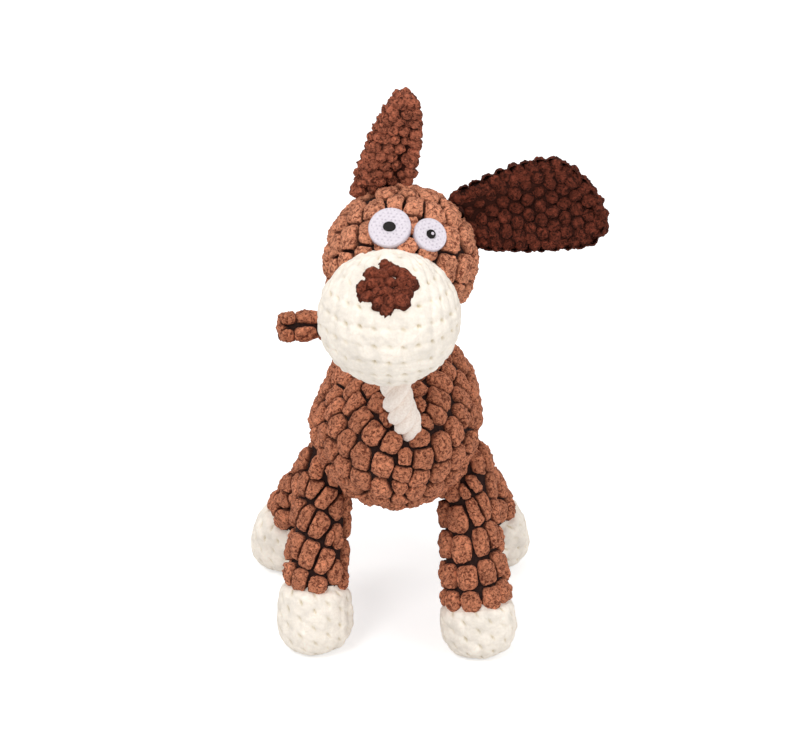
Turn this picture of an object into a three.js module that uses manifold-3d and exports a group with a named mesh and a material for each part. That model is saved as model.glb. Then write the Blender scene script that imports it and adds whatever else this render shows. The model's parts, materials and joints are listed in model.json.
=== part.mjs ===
// Squeaky plush dog: puffed plush covers over stuffing, a rope neck and a squeaker in the belly.
// Millimetres, +Z up. The dog looks along -Y and its left side is +X.
import * as THREE from "three";
import { ConvexHull } from "three/addons/math/ConvexHull.js";
import { mergeVertices } from "three/addons/utils/BufferGeometryUtils.js";
import Module from "manifold-3d";

const wasm = await Module();
wasm.setup();

// Fits that all pieces share
const seamGap = 0.3; // room between two pieces that are sewn or seated together
const coverWall = 2.4; // plush with its backing cloth
const soleFlat = 0.5; // depth of the flat that each paw stands on
const overrun = 30; // how far a cutting form runs past what it cuts

// Body: a barrel lying along Y
const bodyLength = 100;
const bodyWidth = 70;
const bodyDepth = 70;
const bodyCentreHeight = 96.6;

// Puffs of the body's plush, in columns that run up and down its two side panels
const puffWidth = 9.3; // from column to column
const puffLength = 11.6;
const puffHeight = 3; // above the backing cloth
const puffSink = 0.5; // how far the puffs' tops lie inside the body's even form
const backingWall = 0.9;
const chestSeamSide = 5; // where the panels meet in front, off the middle plane
const puffTopShare = 0.72; // how much of its cell a puff's flat top takes up
const puffApartShare = 0.76; // the least distance between two puffs, in widths
const columnStepShare = 0.25; // how far each column is stepped along from the last
const steepestPuff = 84; // degrees above or below level
const sideways = 90; // degrees round from the front
const chestPuffs = [
  // degrees round from the front to the dog's left, and degrees above level
  [-16, 43], [-16, 24], [-29, 30], [-39, 37], [-49, 43], [-48, 18], [-37, 11], [-25, 6], [-56, 25],
  [-50, -1], [-40, -8], [-26, -13], [-9, 3], [-10, -19], [-3, 19], [6, 7], [4, -8], [4, -30],
  [19, 21], [20, 6], [17, -8], [15, -24], [35, 9], [34, -9], [32, -27], [48, 14], [49, -6],
  [34, 32], [42, 39], [53, 47], [25, 50], [25, 31], [66, 27], [59, 20], [70, 49], [76, 34],
  [-60, 4], [71, 11], [64, -5],
];

// Squeaker: a moulded bellows lying flat in the middle of the body
const squeakerRadius = 20;
const squeakerWall = 1.2;
const squeakerBaseHeight = 8;
const squeakerDomeHeight = 11;
const squeakerSetBack = 8; // behind the body's middle
const whistleBore = 2.2;
const whistleWall = 2.4;
const whistleLength = 10;
const whistleCollarRadius = 7;
const whistleCollarHeight = 1.8;
const reedThickness = 0.4;
const reedLength = 7;

// Rope neck
const ropeRadius = 6.2;
const ropeKnotRadius = 10;
const ropeKnotHeight = 8;
const ropeSeatSide = 5.8; // where it leaves the chest
const ropeSeatSetBack = 4; // behind the foremost point of the body
const chestKnotBack = 14; // the lower knot, from the seat
const chestKnotDrop = 16;
const ropeBowSide = 3.4; // how far the rope bows between chest and head
const ropeBowForward = 5;
const headKnotDrop = 9; // the upper knot, below the middle of the head

// Head, from the rope's seat in the chest
const headRadius = 30.4;
const headRise = 74.2;
const headBack = 4;
const headSide = 3.8;

// Muzzle, from the middle of the head
const muzzleWidth = 53.6;
const muzzleLength = 52;
const muzzleDepth = 51;
const muzzleForward = 31.1;
const muzzleDrop = 8.3;
const muzzleSide = 4.2;

// Nose pad on the muzzle
const noseWidth = 24;
const noseHeight = 22.5;
const noseThickness = 3.2;
const noseSlope = 52; // degrees above level
const noseTurn = 4; // degrees to the dog's right

// Eyes: flat embroidered discs with embroidered pupils
const eyeThickness = 1.4;
const eyeSlope = { left: 44, right: 52 }; // degrees above level
const eyeTurn = { left: 30.5, right: -12.5 }; // degrees to the dog's left
const eyeRadius = { left: 6.5, right: 8 };
const pupilWidth = { left: 3.6, right: 4.9 };
const pupilHeight = { left: 3.6, right: 4.1 };
const pupilThickness = 0.6;

// Ears: two plush panels each, one held out to the side and one standing rolled up.
// Each runs along its heading from a seam, and turns about that seam. Its outline lies off its
// middle line to both sides: along the seam's direction, and against it.
const earTurn = { left: 114, right: -149 }; // the seat: degrees round from the front to the dog's left
const earSlope = { left: 24, right: 60 }; // the seat: degrees above level
const earLength = { left: 54, right: 46 };
const earRootWidth = { left: 24, right: 23.2 };
const earThickness = { left: 8.6, right: 14 };
const earHeading = { left: new THREE.Vector3(1, 0.02, 0.1), right: new THREE.Vector3(0.19, -0.16, 1) };
const earSeam = { left: new THREE.Vector3(0, 0.26, 0.97), right: new THREE.Vector3(1, 0, 0) };
const earRange = { left: [-55, 35], right: [-30, 45] };
const earStationShares = [-0.06, 0, 0.14, 0.28, 0.42, 0.55, 0.66, 0.77, 0.87, 0.95];
const earForthShares = {
  left: [1.02, 1.05, 1.36, 1.6, 1.77, 1.9, 1.86, 1.46, 0.94, 0.3],
  right: [1, 1, 1.07, 1.06, 1.03, 1, 0.94, 0.83, 0.62, 0.4],
};
const earBackShares = {
  left: [0.9, 0.92, 1.07, 1.18, 1.25, 1.29, 1.31, 1.35, 1.34, 1],
  right: [0.98, 1, 1.02, 0.92, 0.84, 0.76, 0.68, 0.6, 0.46, 0.26],
};
const earThickShares = {
  left: [0.9, 0.9, 0.95, 1, 1, 1, 0.95, 0.88, 0.78, 0.6],
  right: [0.85, 0.9, 1, 1, 1, 0.98, 0.95, 0.9, 0.8, 0.62],
};
const earTipShares = { left: -0.4, right: 0.08 }; // where the tip lies off the middle line

// Legs and paws
const hipRadius = 11.4;
const ankleRadius = 13.6;
const pawRadius = 15.8;
const pawCuffRadius = 14;
const pawHeight = 24;
const pawBellyHeight = 11.5; // height of the widest part of a paw
const legBend = 24; // length of the straight lead out of the hip and into the paw
const hipSetBack = { front: 42, rear: 24 }; // in from that end of the body
const hipAngle = { front: 55, rear: 35 }; // degrees up the body's side from underneath
const legSpread = { front: 4, rear: 35 }; // degrees that a leg leaves the hip outwards
const legRange = { front: [-35, 12], rear: [-12, 35] };
const pawOut = { front_left: 34, front_right: 32, rear_left: 42.7, rear_right: 47.6 };
const pawReach = { front_left: 23, front_right: 20, rear_left: 15, rear_right: 13 }; // past the hip

// Tail: leaves the rear end and curls to the dog's right
const tailRadius = 6.9;
const tailRootRadius = 6;
const tailSeatRise = 8.5; // above the body's axis
const tailReachSide = 44;
const tailReachBack = 8; // behind the body's rear end
const tailTipRise = 4; // tip above the seat
const tailRange = [-80, 20];

// Facets
const bodyFacets = { round: 28, long: 14 };
const headFacets = { round: 24, long: 12 };
const innerFacets = { round: 18, long: 9 };
const latheFacets = 20;
const limbSides = 14;
const tailSides = 10;
const earSides = 7;
const ropeSides = 10;
const ropeSteps = 9;
const knotFacets = { round: 12, long: 6 };
const reliefStep = 12; // degrees between the positions that a hinged piece is cut clear of

const X = new THREE.Vector3(1, 0, 0);
const Y = new THREE.Vector3(0, 1, 0);
const Z = new THREE.Vector3(0, 0, 1);
const radians = THREE.MathUtils.degToRad;
const degrees = THREE.MathUtils.radToDeg;

// Solids, joined and cut

function solidOf(geometry) {
  const bare = new THREE.BufferGeometry();
  bare.setAttribute("position", geometry.getAttribute("position"));
  bare.setIndex(geometry.index);
  const merged = mergeVertices(bare, 1e-4);
  const mesh = new wasm.Mesh({
    numProp: 3,
    vertProperties: new Float32Array(merged.attributes.position.array),
    triVerts: new Uint32Array(merged.index.array),
  });
  return new wasm.Manifold(mesh);
}

function geometryOf(solid) {
  const mesh = solid.getMesh();
  const geometry = new THREE.BufferGeometry();
  const points = new THREE.BufferAttribute(new Float32Array(mesh.vertProperties), mesh.numProp);
  geometry.setAttribute("position", points);
  geometry.setIndex(new THREE.BufferAttribute(new Uint32Array(mesh.triVerts), 1));
  return geometry;
}

// Takes every cutter out of a form. Both are geometries, and so is the result.
function cut(geometry, ...cutters) {
  let solid = solidOf(geometry);
  for (const cutter of cutters) solid = solid.subtract(solidOf(cutter));
  return geometryOf(solid);
}

function join(...geometries) {
  let solid = solidOf(geometries[0]);
  for (const geometry of geometries.slice(1)) solid = solid.add(solidOf(geometry));
  return geometryOf(solid);
}

function common(geometry, other) {
  return geometryOf(solidOf(geometry).intersect(solidOf(other)));
}

// Forms

function ellipsoid(width, length, depth, facets, inset = 0) {
  const ball = new THREE.SphereGeometry(1, facets.round, facets.long);
  return ball.scale(width / 2 - inset, length / 2 - inset, depth / 2 - inset);
}

// A closed skin over rings of points, running to a point past the first and the last ring.
function loft(rings, start, end) {
  const count = rings[0].length;
  const points = [...rings.flat(), start, end];
  const startIndex = points.length - 2;
  const endIndex = points.length - 1;
  const lastRing = (rings.length - 1) * count;
  const faces = [];
  for (let i = 0; i < count; i++) {
    const next = (i + 1) % count;
    faces.push(startIndex, next, i);
    faces.push(endIndex, lastRing + i, lastRing + next);
    for (let ring = 0; ring < lastRing; ring += count) {
      faces.push(ring + i, ring + next, ring + next + count);
      faces.push(ring + i, ring + next + count, ring + i + count);
    }
  }
  const geometry = new THREE.BufferGeometry().setFromPoints(points);
  geometry.setIndex(faces);
  return geometry;
}

// The middle and the cross directions at a distance along a curve, which runs on straight past its ends.
function stationOn(curve, along, across) {
  const length = curve.getLength();
  const share = THREE.MathUtils.clamp(along / length, 0, 1);
  const tangent = curve.getTangentAt(share);
  const middle = curve.getPointAt(share).addScaledVector(tangent, along - share * length);
  const wide = across.clone().addScaledVector(tangent, -across.dot(tangent)).normalize();
  const thick = tangent.clone().cross(wide);
  return { middle, wide, thick };
}

// A form that swells and tapers along a curve. Each section is {along, width, thickness}, in half sizes.
// The first and the last section are the points that it closes on.
function swelling(curve, across, sections, sides) {
  const rings = sections.slice(1, -1).map((section) => {
    const { middle, wide, thick } = stationOn(curve, section.along, across);
    return Array.from({ length: sides }, (_, i) => {
      const angle = (2 * Math.PI * i) / sides;
      const point = middle.clone().addScaledVector(wide, section.width * Math.cos(angle));
      return point.addScaledVector(thick, section.thickness * Math.sin(angle));
    });
  });
  const start = stationOn(curve, sections[0].along, across).middle;
  const end = stationOn(curve, sections.at(-1).along, across).middle;
  return loft(rings, start, end);
}

function roundSection(along, radius) {
  return { along, width: radius, thickness: radius };
}

// The sections of a round end that closes before the start of a curve.
const domeAngles = [90, 62, 28];
function domeSections(radius) {
  return domeAngles.map((angle) =>
    roundSection(-radius * Math.sin(radians(angle)), radius * Math.cos(radians(angle))),
  );
}

// A hinge: its pivot and axis in the group that holds both pieces, and its range in degrees.
// The fixed piece as the moving one meets it over the whole range.
function swept(fixed, hinge) {
  const [low, high] = hinge.range;
  const steps = Math.ceil((high - low) / reliefStep);
  const angles = Array.from({ length: steps + 1 }, (_, i) => low + ((high - low) * i) / steps);
  return [0, ...angles].map((angle) => {
    const turn = new THREE.Matrix4().makeRotationAxis(hinge.axis, -radians(angle));
    const back = new THREE.Matrix4().makeTranslation(hinge.pivot);
    const away = new THREE.Matrix4().makeTranslation(hinge.pivot.clone().negate());
    return fixed.clone().applyMatrix4(back.multiply(turn).multiply(away));
  });
}

// The direction from a middle that lies so many degrees round from the front and above level.
function heading(turn, slope) {
  const level = Math.cos(radians(slope));
  const side = level * Math.sin(radians(turn));
  return new THREE.Vector3(side, -level * Math.cos(radians(turn)), Math.sin(radians(slope)));
}

// Materials

function plush(colour) {
  return new THREE.MeshStandardMaterial({ color: colour, roughness: 0.95, metalness: 0 });
}

const brownPlush = plush(0x7e4c3b);
const darkPlush = plush(0x56281e);
const earPlush = plush(0x401e16);
const creamPlush = plush(0xf7ebde);
const stuffing = plush(0xf4f2ee);
const ropeCotton = plush(0xf1e0d4);
const eyeThread = new THREE.MeshStandardMaterial({ color: 0xeee6ec, roughness: 0.6, metalness: 0 });
const pupilThread = new THREE.MeshStandardMaterial({ color: 0x1d1918, roughness: 0.5, metalness: 0 });
const bellowsPlastic = new THREE.MeshStandardMaterial({ color: 0xe9eef2, roughness: 0.45, metalness: 0 });
const whistlePlastic = new THREE.MeshStandardMaterial({ color: 0xd8452f, roughness: 0.35, metalness: 0 });
const reedPlastic = new THREE.MeshStandardMaterial({ color: 0xf6f6f2, roughness: 0.3, metalness: 0 });

function piece(name, geometry, material) {
  const mesh = new THREE.Mesh(geometry, material);
  mesh.name = name;
  return mesh;
}

// Rope: one length, knotted in the chest and in the head

const seatAlong = ropeSeatSetBack - bodyLength / 2;
const seatShare = 1 - ((2 * ropeSeatSide) / bodyWidth) ** 2 - ((2 * seatAlong) / bodyLength) ** 2;
const seatRise = (bodyDepth / 2) * Math.sqrt(seatShare);
const ropeSeat = new THREE.Vector3(ropeSeatSide, seatAlong, seatRise);
const headMiddle = ropeSeat.clone().add(new THREE.Vector3(-headSide, headBack, headRise));
const neckTop = headMiddle.clone().addScaledVector(Z, -headRadius);
const chestKnot = ropeSeat.clone().add(new THREE.Vector3(0, chestKnotBack, -chestKnotDrop));
const headKnot = headMiddle.clone().addScaledVector(Z, -headKnotDrop);

function neckCurve() {
  const bow = ropeSeat.clone().lerp(neckTop, 0.5);
  bow.add(new THREE.Vector3(-ropeBowSide, -ropeBowForward, 0));
  return new THREE.CatmullRomCurve3([chestKnot, ropeSeat, bow, neckTop, headKnot]);
}

function neckForm(room) {
  const radius = ropeRadius + room;
  const outline = Array.from({ length: ropeSides }, (_, i) => {
    const angle = (2 * Math.PI * i) / ropeSides;
    return new THREE.Vector2(radius * Math.cos(angle), radius * Math.sin(angle));
  });
  const tube = new THREE.ExtrudeGeometry(new THREE.Shape(outline), {
    steps: ropeSteps,
    extrudePath: neckCurve(),
  });
  const knots = [chestKnot, headKnot].map((middle) => {
    const width = 2 * (ropeKnotRadius + room);
    const depth = 2 * (ropeKnotHeight + room);
    const knot = ellipsoid(width, width, depth, knotFacets);
    return knot.rotateX(Math.PI / 2).translate(middle.x, middle.y, middle.z);
  });
  return join(tube, ...knots);
}

const neckRoom = neckForm(seamGap);

// Squeaker, built standing on its base at the middle of its own group

function lathed(outline) {
  const points = outline.map(([radius, height]) => new THREE.Vector2(radius, height));
  return new THREE.LatheGeometry(points, latheFacets).rotateX(Math.PI / 2);
}

const whistleRadius = whistleBore + whistleWall;
const domeFoot = squeakerBaseHeight + seamGap;
const squeakerTop = domeFoot + squeakerDomeHeight;
const squeakerMiddle = (squeakerTop - whistleCollarHeight - seamGap) / 2;

function squeakerBase() {
  const hole = whistleRadius + seamGap;
  const inside = squeakerRadius - squeakerWall;
  return lathed([
    [hole, 0],
    [squeakerRadius, 0],
    [squeakerRadius, squeakerBaseHeight],
    [inside, squeakerBaseHeight],
    [inside, squeakerWall],
    [hole, squeakerWall],
    [hole, 0],
  ]);
}

function squeakerDome() {
  const skin = (radius, rise) =>
    [0, 25, 50, 72, 90].map((angle) => [
      radius * Math.cos(radians(angle)) ** 0.7,
      domeFoot + rise * Math.sin(radians(angle)),
    ]);
  const outer = skin(squeakerRadius, squeakerDomeHeight);
  const inner = skin(squeakerRadius - squeakerWall, squeakerDomeHeight - squeakerWall);
  outer.at(-1)[0] = 0;
  inner.at(-1)[0] = 0;
  return lathed([...inner.reverse(), ...outer]);
}

function squeakerWhistle() {
  const collarFoot = -seamGap - whistleCollarHeight;
  return lathed([
    [whistleBore, collarFoot],
    [whistleCollarRadius, collarFoot],
    [whistleCollarRadius, -seamGap],
    [whistleRadius, -seamGap],
    [whistleRadius, whistleLength],
    [whistleBore, whistleLength],
    [whistleBore, collarFoot],
  ]);
}

function squeakerReed() {
  const width = 2 * (whistleBore - seamGap);
  return new THREE.BoxGeometry(reedThickness, width, reedLength);
}

function makeSqueaker() {
  const squeaker = new THREE.Group();
  squeaker.position.set(0, squeakerSetBack, -squeakerMiddle);
  const reed = piece("squeaker_reed", squeakerReed(), reedPlastic);
  reed.position.z = whistleLength - reedLength;
  squeaker.add(
    piece("squeaker_base", squeakerBase(), bellowsPlastic),
    piece("squeaker_dome", squeakerDome(), bellowsPlastic),
    piece("squeaker_whistle", squeakerWhistle(), whistlePlastic),
    reed,
  );
  return squeaker;
}

// Body

const bodyHalf = new THREE.Vector3(bodyWidth, bodyLength, bodyDepth).divideScalar(2);
const bodyCoverWall = backingWall + puffHeight + puffSink;

// A column of puffs on a side panel, as points on the body. Its distance from the side's middle line
// stays the same all along it, and it ends where it runs into the seam.
function puffColumn(side, way, number, panelReach) {
  const girth = new THREE.EllipseCurve(0, 0, bodyHalf.x, bodyHalf.y, 0, Math.PI);
  const arc = (number + 0.5) * puffWidth;
  const at = (slope) => {
    const share = Math.min(arc / Math.cos(radians(slope)) / girth.getLength(), 1);
    const point = girth.getPointAt(share);
    const turn = degrees(Math.atan2(point.y / bodyHalf.y, point.x / bodyHalf.x));
    return heading(side * sideways + way * turn, slope).multiply(bodyHalf);
  };
  const points = [];
  const start = ((number * columnStepShare) % 1) * puffLength;
  for (const step of [1, -1]) {
    let slope = 0;
    let travel = step > 0 ? start : start - puffLength;
    for (;;) {
      slope += travel / at(slope + 0.5).distanceTo(at(slope - 0.5));
      travel = step * puffLength;
      const room = panelReach(slope) - arc;
      if (Math.abs(slope) > steepestPuff || room < 0) break;
      points.push(at(slope));
    }
  }
  return points;
}

function puffPlaces() {
  const laid = chestPuffs.map(([turn, slope]) => heading(turn, slope).multiply(bodyHalf));
  const quarter = new THREE.EllipseCurve(0, 0, bodyHalf.x, bodyHalf.y, 0, Math.PI / 2).getLength();
  const leastApart = puffApartShare * puffWidth;
  for (const side of [1, -1]) {
    for (const way of [1, -1]) {
      const shift = way === -side ? -side * chestSeamSide : 0;
      const reach = (slope) => quarter * Math.cos(radians(slope)) + shift;
      for (let number = 0; number * puffWidth < reach(0); number++) {
        for (const point of puffColumn(side, way, number, reach)) {
          if (laid.every((other) => other.distanceTo(point) > leastApart)) laid.push(point);
        }
      }
    }
  }
  return laid;
}

// The body's outside. Each puff fills the cell round its place: a flat top, and sides that slope down
// to the corners where the cell meets its neighbours.
function puffedBody() {
  const places = puffPlaces().map((point) => point.divide(bodyHalf));
  const hull = new ConvexHull().setFromPoints(places);
  const crown = bodyHalf.clone().addScalar(-puffSink);
  const floor = crown.clone().addScalar(-puffHeight);
  const gaps = new Map(hull.faces.map((face) => [face, face.normal.clone().multiply(floor)]));
  const corners = [];
  const done = new Set();
  for (const first of hull.faces.flatMap(({ edge }) => [edge, edge.next, edge.prev])) {
    const place = first.head().point;
    if (done.has(place)) continue;
    done.add(place);
    const round = [];
    let edge = first;
    do {
      round.unshift(edge.face);
      edge = edge.next.twin;
    } while (edge !== first);
    const foot = round.map((face) => gaps.get(face));
    const top = round.map((face) => {
      return place.clone().lerp(face.normal, puffTopShare).normalize().multiply(crown);
    });
    for (let i = 0; i < round.length; i++) {
      const next = (i + 1) % round.length;
      corners.push(foot[i], foot[next], top[next], foot[i], top[next], top[i]);
      if (i > 0 && next > 0) corners.push(top[0], top[i], top[next]);
    }
  }
  return new THREE.BufferGeometry().setFromPoints(corners);
}

const bodyForm = puffedBody();
const bodyRoom = ellipsoid(bodyWidth, bodyLength, bodyDepth, bodyFacets, -seamGap);

function halfSpace(rise, upper) {
  const size = bodyLength + 2 * overrun;
  const block = new THREE.BoxGeometry(size, size, size);
  return block.translate(0, 0, rise + (upper ? size / 2 : -size / 2));
}

function squeakerPocket() {
  const height = squeakerTop + whistleCollarHeight + 3 * seamGap;
  const pocket = new THREE.CylinderGeometry(
    squeakerRadius + seamGap,
    squeakerRadius + seamGap,
    height,
    latheFacets,
  );
  return pocket.rotateX(Math.PI / 2).translate(0, squeakerSetBack, 0);
}

function makeBody() {
  const hollow = ellipsoid(bodyWidth, bodyLength, bodyDepth, innerFacets, bodyCoverWall);
  const fill = ellipsoid(bodyWidth, bodyLength, bodyDepth, innerFacets, bodyCoverWall + seamGap);
  const packed = cut(fill, neckRoom, squeakerPocket());
  const cover = cut(bodyForm, hollow, neckRoom);
  return [
    piece("body_cover", cover, brownPlush),
    piece("body_stuffing_lower", cut(packed, halfSpace(-seamGap / 2, true)), stuffing),
    piece("body_stuffing_upper", cut(packed, halfSpace(seamGap / 2, false)), stuffing),
  ];
}

// Legs

// Which way a leg lies from the middle of the body: its end of the body along Y, and its side along X.
const endSigns = { front: -1, rear: 1 };
const sideSigns = { left: 1, right: -1 };

function legCurve(end, side) {
  const along = endSigns[end] * (bodyLength / 2 - hipSetBack[end]);
  const girthShare = Math.sqrt(1 - ((2 * along) / bodyLength) ** 2);
  const angle = radians(hipAngle[end]);
  const out = (bodyWidth / 2) * girthShare * Math.sin(angle);
  const drop = (bodyDepth / 2) * girthShare * Math.cos(angle);
  const hip = new THREE.Vector3(sideSigns[side] * out, along, -drop);
  const name = `${end}_${side}`;
  const pawAlong = along + endSigns[end] * pawReach[name];
  const sole = new THREE.Vector3(sideSigns[side] * pawOut[name], pawAlong, -bodyCentreHeight);
  const spread = radians(legSpread[end]);
  const leaving = new THREE.Vector3(sideSigns[side] * Math.sin(spread), 0, -Math.cos(spread));
  const knee = hip.clone().addScaledVector(leaving, legBend);
  const shin = sole.clone().addScaledVector(Z, legBend);
  return new THREE.CubicBezierCurve3(hip, knee, shin, sole);
}

// The half width of a leg or paw at a distance along it, drawn in by an inset.
function legRadius(along, length, inset) {
  const height = length - along;
  if (height > pawHeight) {
    const share = THREE.MathUtils.clamp(along / (length - pawHeight), 0, 1);
    return hipRadius + (ankleRadius - hipRadius) * share ** 0.8 - inset;
  }
  if (height > pawBellyHeight) {
    const share = (height - pawBellyHeight) / (pawHeight - pawBellyHeight);
    return pawRadius - (pawRadius - pawCuffRadius) * share ** 2 - inset;
  }
  const deepest = pawBellyHeight + soleFlat - inset;
  const share = Math.min((pawBellyHeight - height) / deepest, 1);
  return (pawRadius - inset) * (1 - share ** 2.5) ** 0.4;
}

const shaftShares = [0, 0.3, 0.65, 1];
function shaftSections(length, inset) {
  const ankle = length - pawHeight - seamGap / 2;
  return shaftShares.map((share) =>
    roundSection(share * ankle, legRadius(share * ankle, length, inset)),
  );
}

const pawShares = [0.76, 0.46, 0.22, 0.07];
function pawSections(length, inset, cuff) {
  const heights = [cuff, ...pawShares.map((share) => share * pawHeight + inset * (1 - share))];
  const rings = heights.map((height) =>
    roundSection(length - height, legRadius(length - height, length, inset)),
  );
  return [...rings, roundSection(length + soleFlat - inset, 0)];
}

function makeLeg(end, side) {
  const name = `${end}_${side}`;
  const curve = legCurve(end, side);
  const length = curve.getLength();
  const hinge = { pivot: curve.getPoint(0), axis: X, range: legRange[end] };
  const clearOfBody = swept(bodyRoom, hinge);
  const form = (sections) => swelling(curve, Y, sections, limbSides);
  const endAt = (section) => roundSection(section.along, 0);
  const seam = pawHeight - seamGap / 2;

  const shaft = [...domeSections(hipRadius), ...shaftSections(length, 0)];
  const hollowShaft = [
    ...domeSections(hipRadius - coverWall),
    ...shaftSections(length, coverWall),
    roundSection(length - pawHeight + overrun, ankleRadius - coverWall),
  ];
  const paw = pawSections(length, 0, seam);
  const hollowPaw = [
    roundSection(length - pawHeight - overrun, pawCuffRadius - coverWall),
    ...pawSections(length, coverWall, seam),
  ];
  const inset = coverWall + seamGap;
  const fill = [
    ...domeSections(hipRadius - inset),
    ...shaftSections(length, inset),
    ...pawSections(length, inset, seam).slice(1),
  ];
  const ground = halfSpace(-bodyCentreHeight, false);
  const legCover = cut(
    form([...shaft, endAt(shaft.at(-1))]),
    form([...hollowShaft, endAt(hollowShaft.at(-1))]),
    ...clearOfBody,
  );
  const pawCover = cut(form([endAt(paw[0]), ...paw]), form([endAt(hollowPaw[0]), ...hollowPaw]), ground);
  return {
    name: "leg_" + name,
    hinge,
    pieces: [
      piece("leg_cover_" + name, legCover, brownPlush),
      piece("paw_cover_" + name, pawCover, creamPlush),
      piece("leg_stuffing_" + name, cut(form(fill), ...clearOfBody), stuffing),
    ],
  };
}

// Tail

function makeTail() {
  const rear = (bodyLength / 2) * Math.sqrt(1 - ((2 * tailSeatRise) / bodyDepth) ** 2);
  const seat = new THREE.Vector3(0, rear - tailRootRadius / 2, tailSeatRise);
  const tipRise = tailSeatRise + tailTipRise;
  const curve = new THREE.CubicBezierCurve3(
    seat,
    new THREE.Vector3(0, rear + 2 * tailReachBack, tailSeatRise),
    new THREE.Vector3(-tailReachSide / 2, rear + tailReachBack, tipRise),
    new THREE.Vector3(-tailReachSide, rear + tailReachBack / 2, tipRise),
  );
  const length = curve.getLength();
  const hinge = { pivot: new THREE.Vector3(0, rear, tailSeatRise), axis: Z, range: tailRange };
  const clearOfBody = swept(bodyRoom, hinge);
  const tipAngles = [0, 40, 68];
  const form = (inset) => {
    const root = tailRootRadius - inset;
    const tip = tailRadius - inset;
    const shaft = [0, 0.2, 0.42, 0.66].map((share) =>
      roundSection(share * length, root + (tip - root) * share),
    );
    const end = tipAngles.map((angle) =>
      roundSection(length + tip * Math.sin(radians(angle)) ** 1.4, tip * Math.cos(radians(angle)) ** 0.8),
    );
    const sections = [...domeSections(root), ...shaft, ...end, roundSection(length + tip, 0)];
    return swelling(curve, Z, sections, tailSides);
  };
  const cover = cut(form(0), form(coverWall), ...clearOfBody);
  const fill = cut(form(coverWall + seamGap), ...clearOfBody);
  return {
    name: "tail",
    hinge,
    pieces: [piece("tail_cover", cover, brownPlush), piece("tail_stuffing", fill, stuffing)],
  };
}

// Head and muzzle, about the middle of the head

const headSize = 2 * headRadius;
const headForm = ellipsoid(headSize, headSize, headSize, headFacets);
const headRoom = ellipsoid(headSize, headSize, headSize, headFacets, -seamGap);
const muzzleMiddle = new THREE.Vector3(-muzzleSide, -muzzleForward, -muzzleDrop);

function muzzleForm(inset, facets = headFacets) {
  const form = ellipsoid(muzzleWidth, muzzleLength, muzzleDepth, facets, inset);
  return form.translate(muzzleMiddle.x, muzzleMiddle.y, muzzleMiddle.z);
}

function makeHead() {
  const neck = neckRoom.clone().translate(-headMiddle.x, -headMiddle.y, -headMiddle.z);
  const hollow = ellipsoid(headSize, headSize, headSize, innerFacets, coverWall);
  const fill = ellipsoid(headSize, headSize, headSize, innerFacets, coverWall + seamGap);
  const muzzleCover = cut(muzzleForm(0), muzzleForm(coverWall, innerFacets), headRoom);
  const muzzleFill = cut(muzzleForm(coverWall + seamGap, innerFacets), headRoom);
  return [
    piece("head_cover", cut(headForm, hollow, neck), brownPlush),
    piece("head_stuffing", cut(fill, neck), stuffing),
    piece("muzzle_cover", muzzleCover, creamPlush),
    piece("muzzle_stuffing", muzzleFill, stuffing),
  ];
}

// Turns a form that was built along +Z so that it points in a direction.
function aimed(geometry, direction) {
  const upright = new THREE.Matrix4().lookAt(direction, new THREE.Vector3(), Z);
  return geometry.applyMatrix4(upright);
}

// The nose's outline: a rounded triangle, wide at the top and pointed at the bottom.
function noseOutline() {
  const half = noseWidth / 2;
  const rise = noseHeight / 2;
  const outline = new THREE.Shape();
  outline.moveTo(0, -rise);
  outline.quadraticCurveTo(half * 0.7, -rise, half * 0.85, -rise * 0.3);
  outline.quadraticCurveTo(half * 1.15, rise * 0.35, half * 0.62, rise * 0.8);
  outline.quadraticCurveTo(half * 0.3, rise, 0, rise);
  outline.quadraticCurveTo(-half * 0.3, rise, -half * 0.62, rise * 0.8);
  outline.quadraticCurveTo(-half * 1.15, rise * 0.35, -half * 0.85, -rise * 0.3);
  outline.quadraticCurveTo(-half * 0.7, -rise, 0, -rise);
  return outline;
}

function makeNose() {
  const block = new THREE.ExtrudeGeometry(noseOutline(), {
    depth: muzzleLength,
    bevelEnabled: false,
    curveSegments: 4,
  });
  aimed(block, heading(-noseTurn, noseSlope));
  block.translate(muzzleMiddle.x, muzzleMiddle.y, muzzleMiddle.z);
  const pad = cut(common(muzzleForm(-noseThickness), block), muzzleForm(-seamGap));
  return piece("nose_pad", cut(pad, headRoom), darkPlush);
}

function makeEye(side) {
  const direction = heading(eyeTurn[side], eyeSlope[side]);
  const face = headRadius + eyeThickness;
  const discDepth = eyeThickness + eyeRadius[side] / 2;
  const disc = new THREE.CylinderGeometry(eyeRadius[side], eyeRadius[side], discDepth, latheFacets);
  disc.rotateX(Math.PI / 2).translate(0, 0, face - discDepth / 2);
  const pupil = new THREE.CylinderGeometry(1, 1, pupilThickness, latheFacets / 2);
  pupil.scale(pupilWidth[side] / 2, 1, pupilHeight[side] / 2);
  pupil.rotateX(Math.PI / 2).translate(0, 0, face + seamGap + pupilThickness / 2);
  return [
    piece("eye_patch_" + side, cut(aimed(disc, direction), headRoom), eyeThread),
    piece("pupil_" + side, aimed(pupil, direction), pupilThread),
  ];
}

// Ears, about the middle of the head

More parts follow.
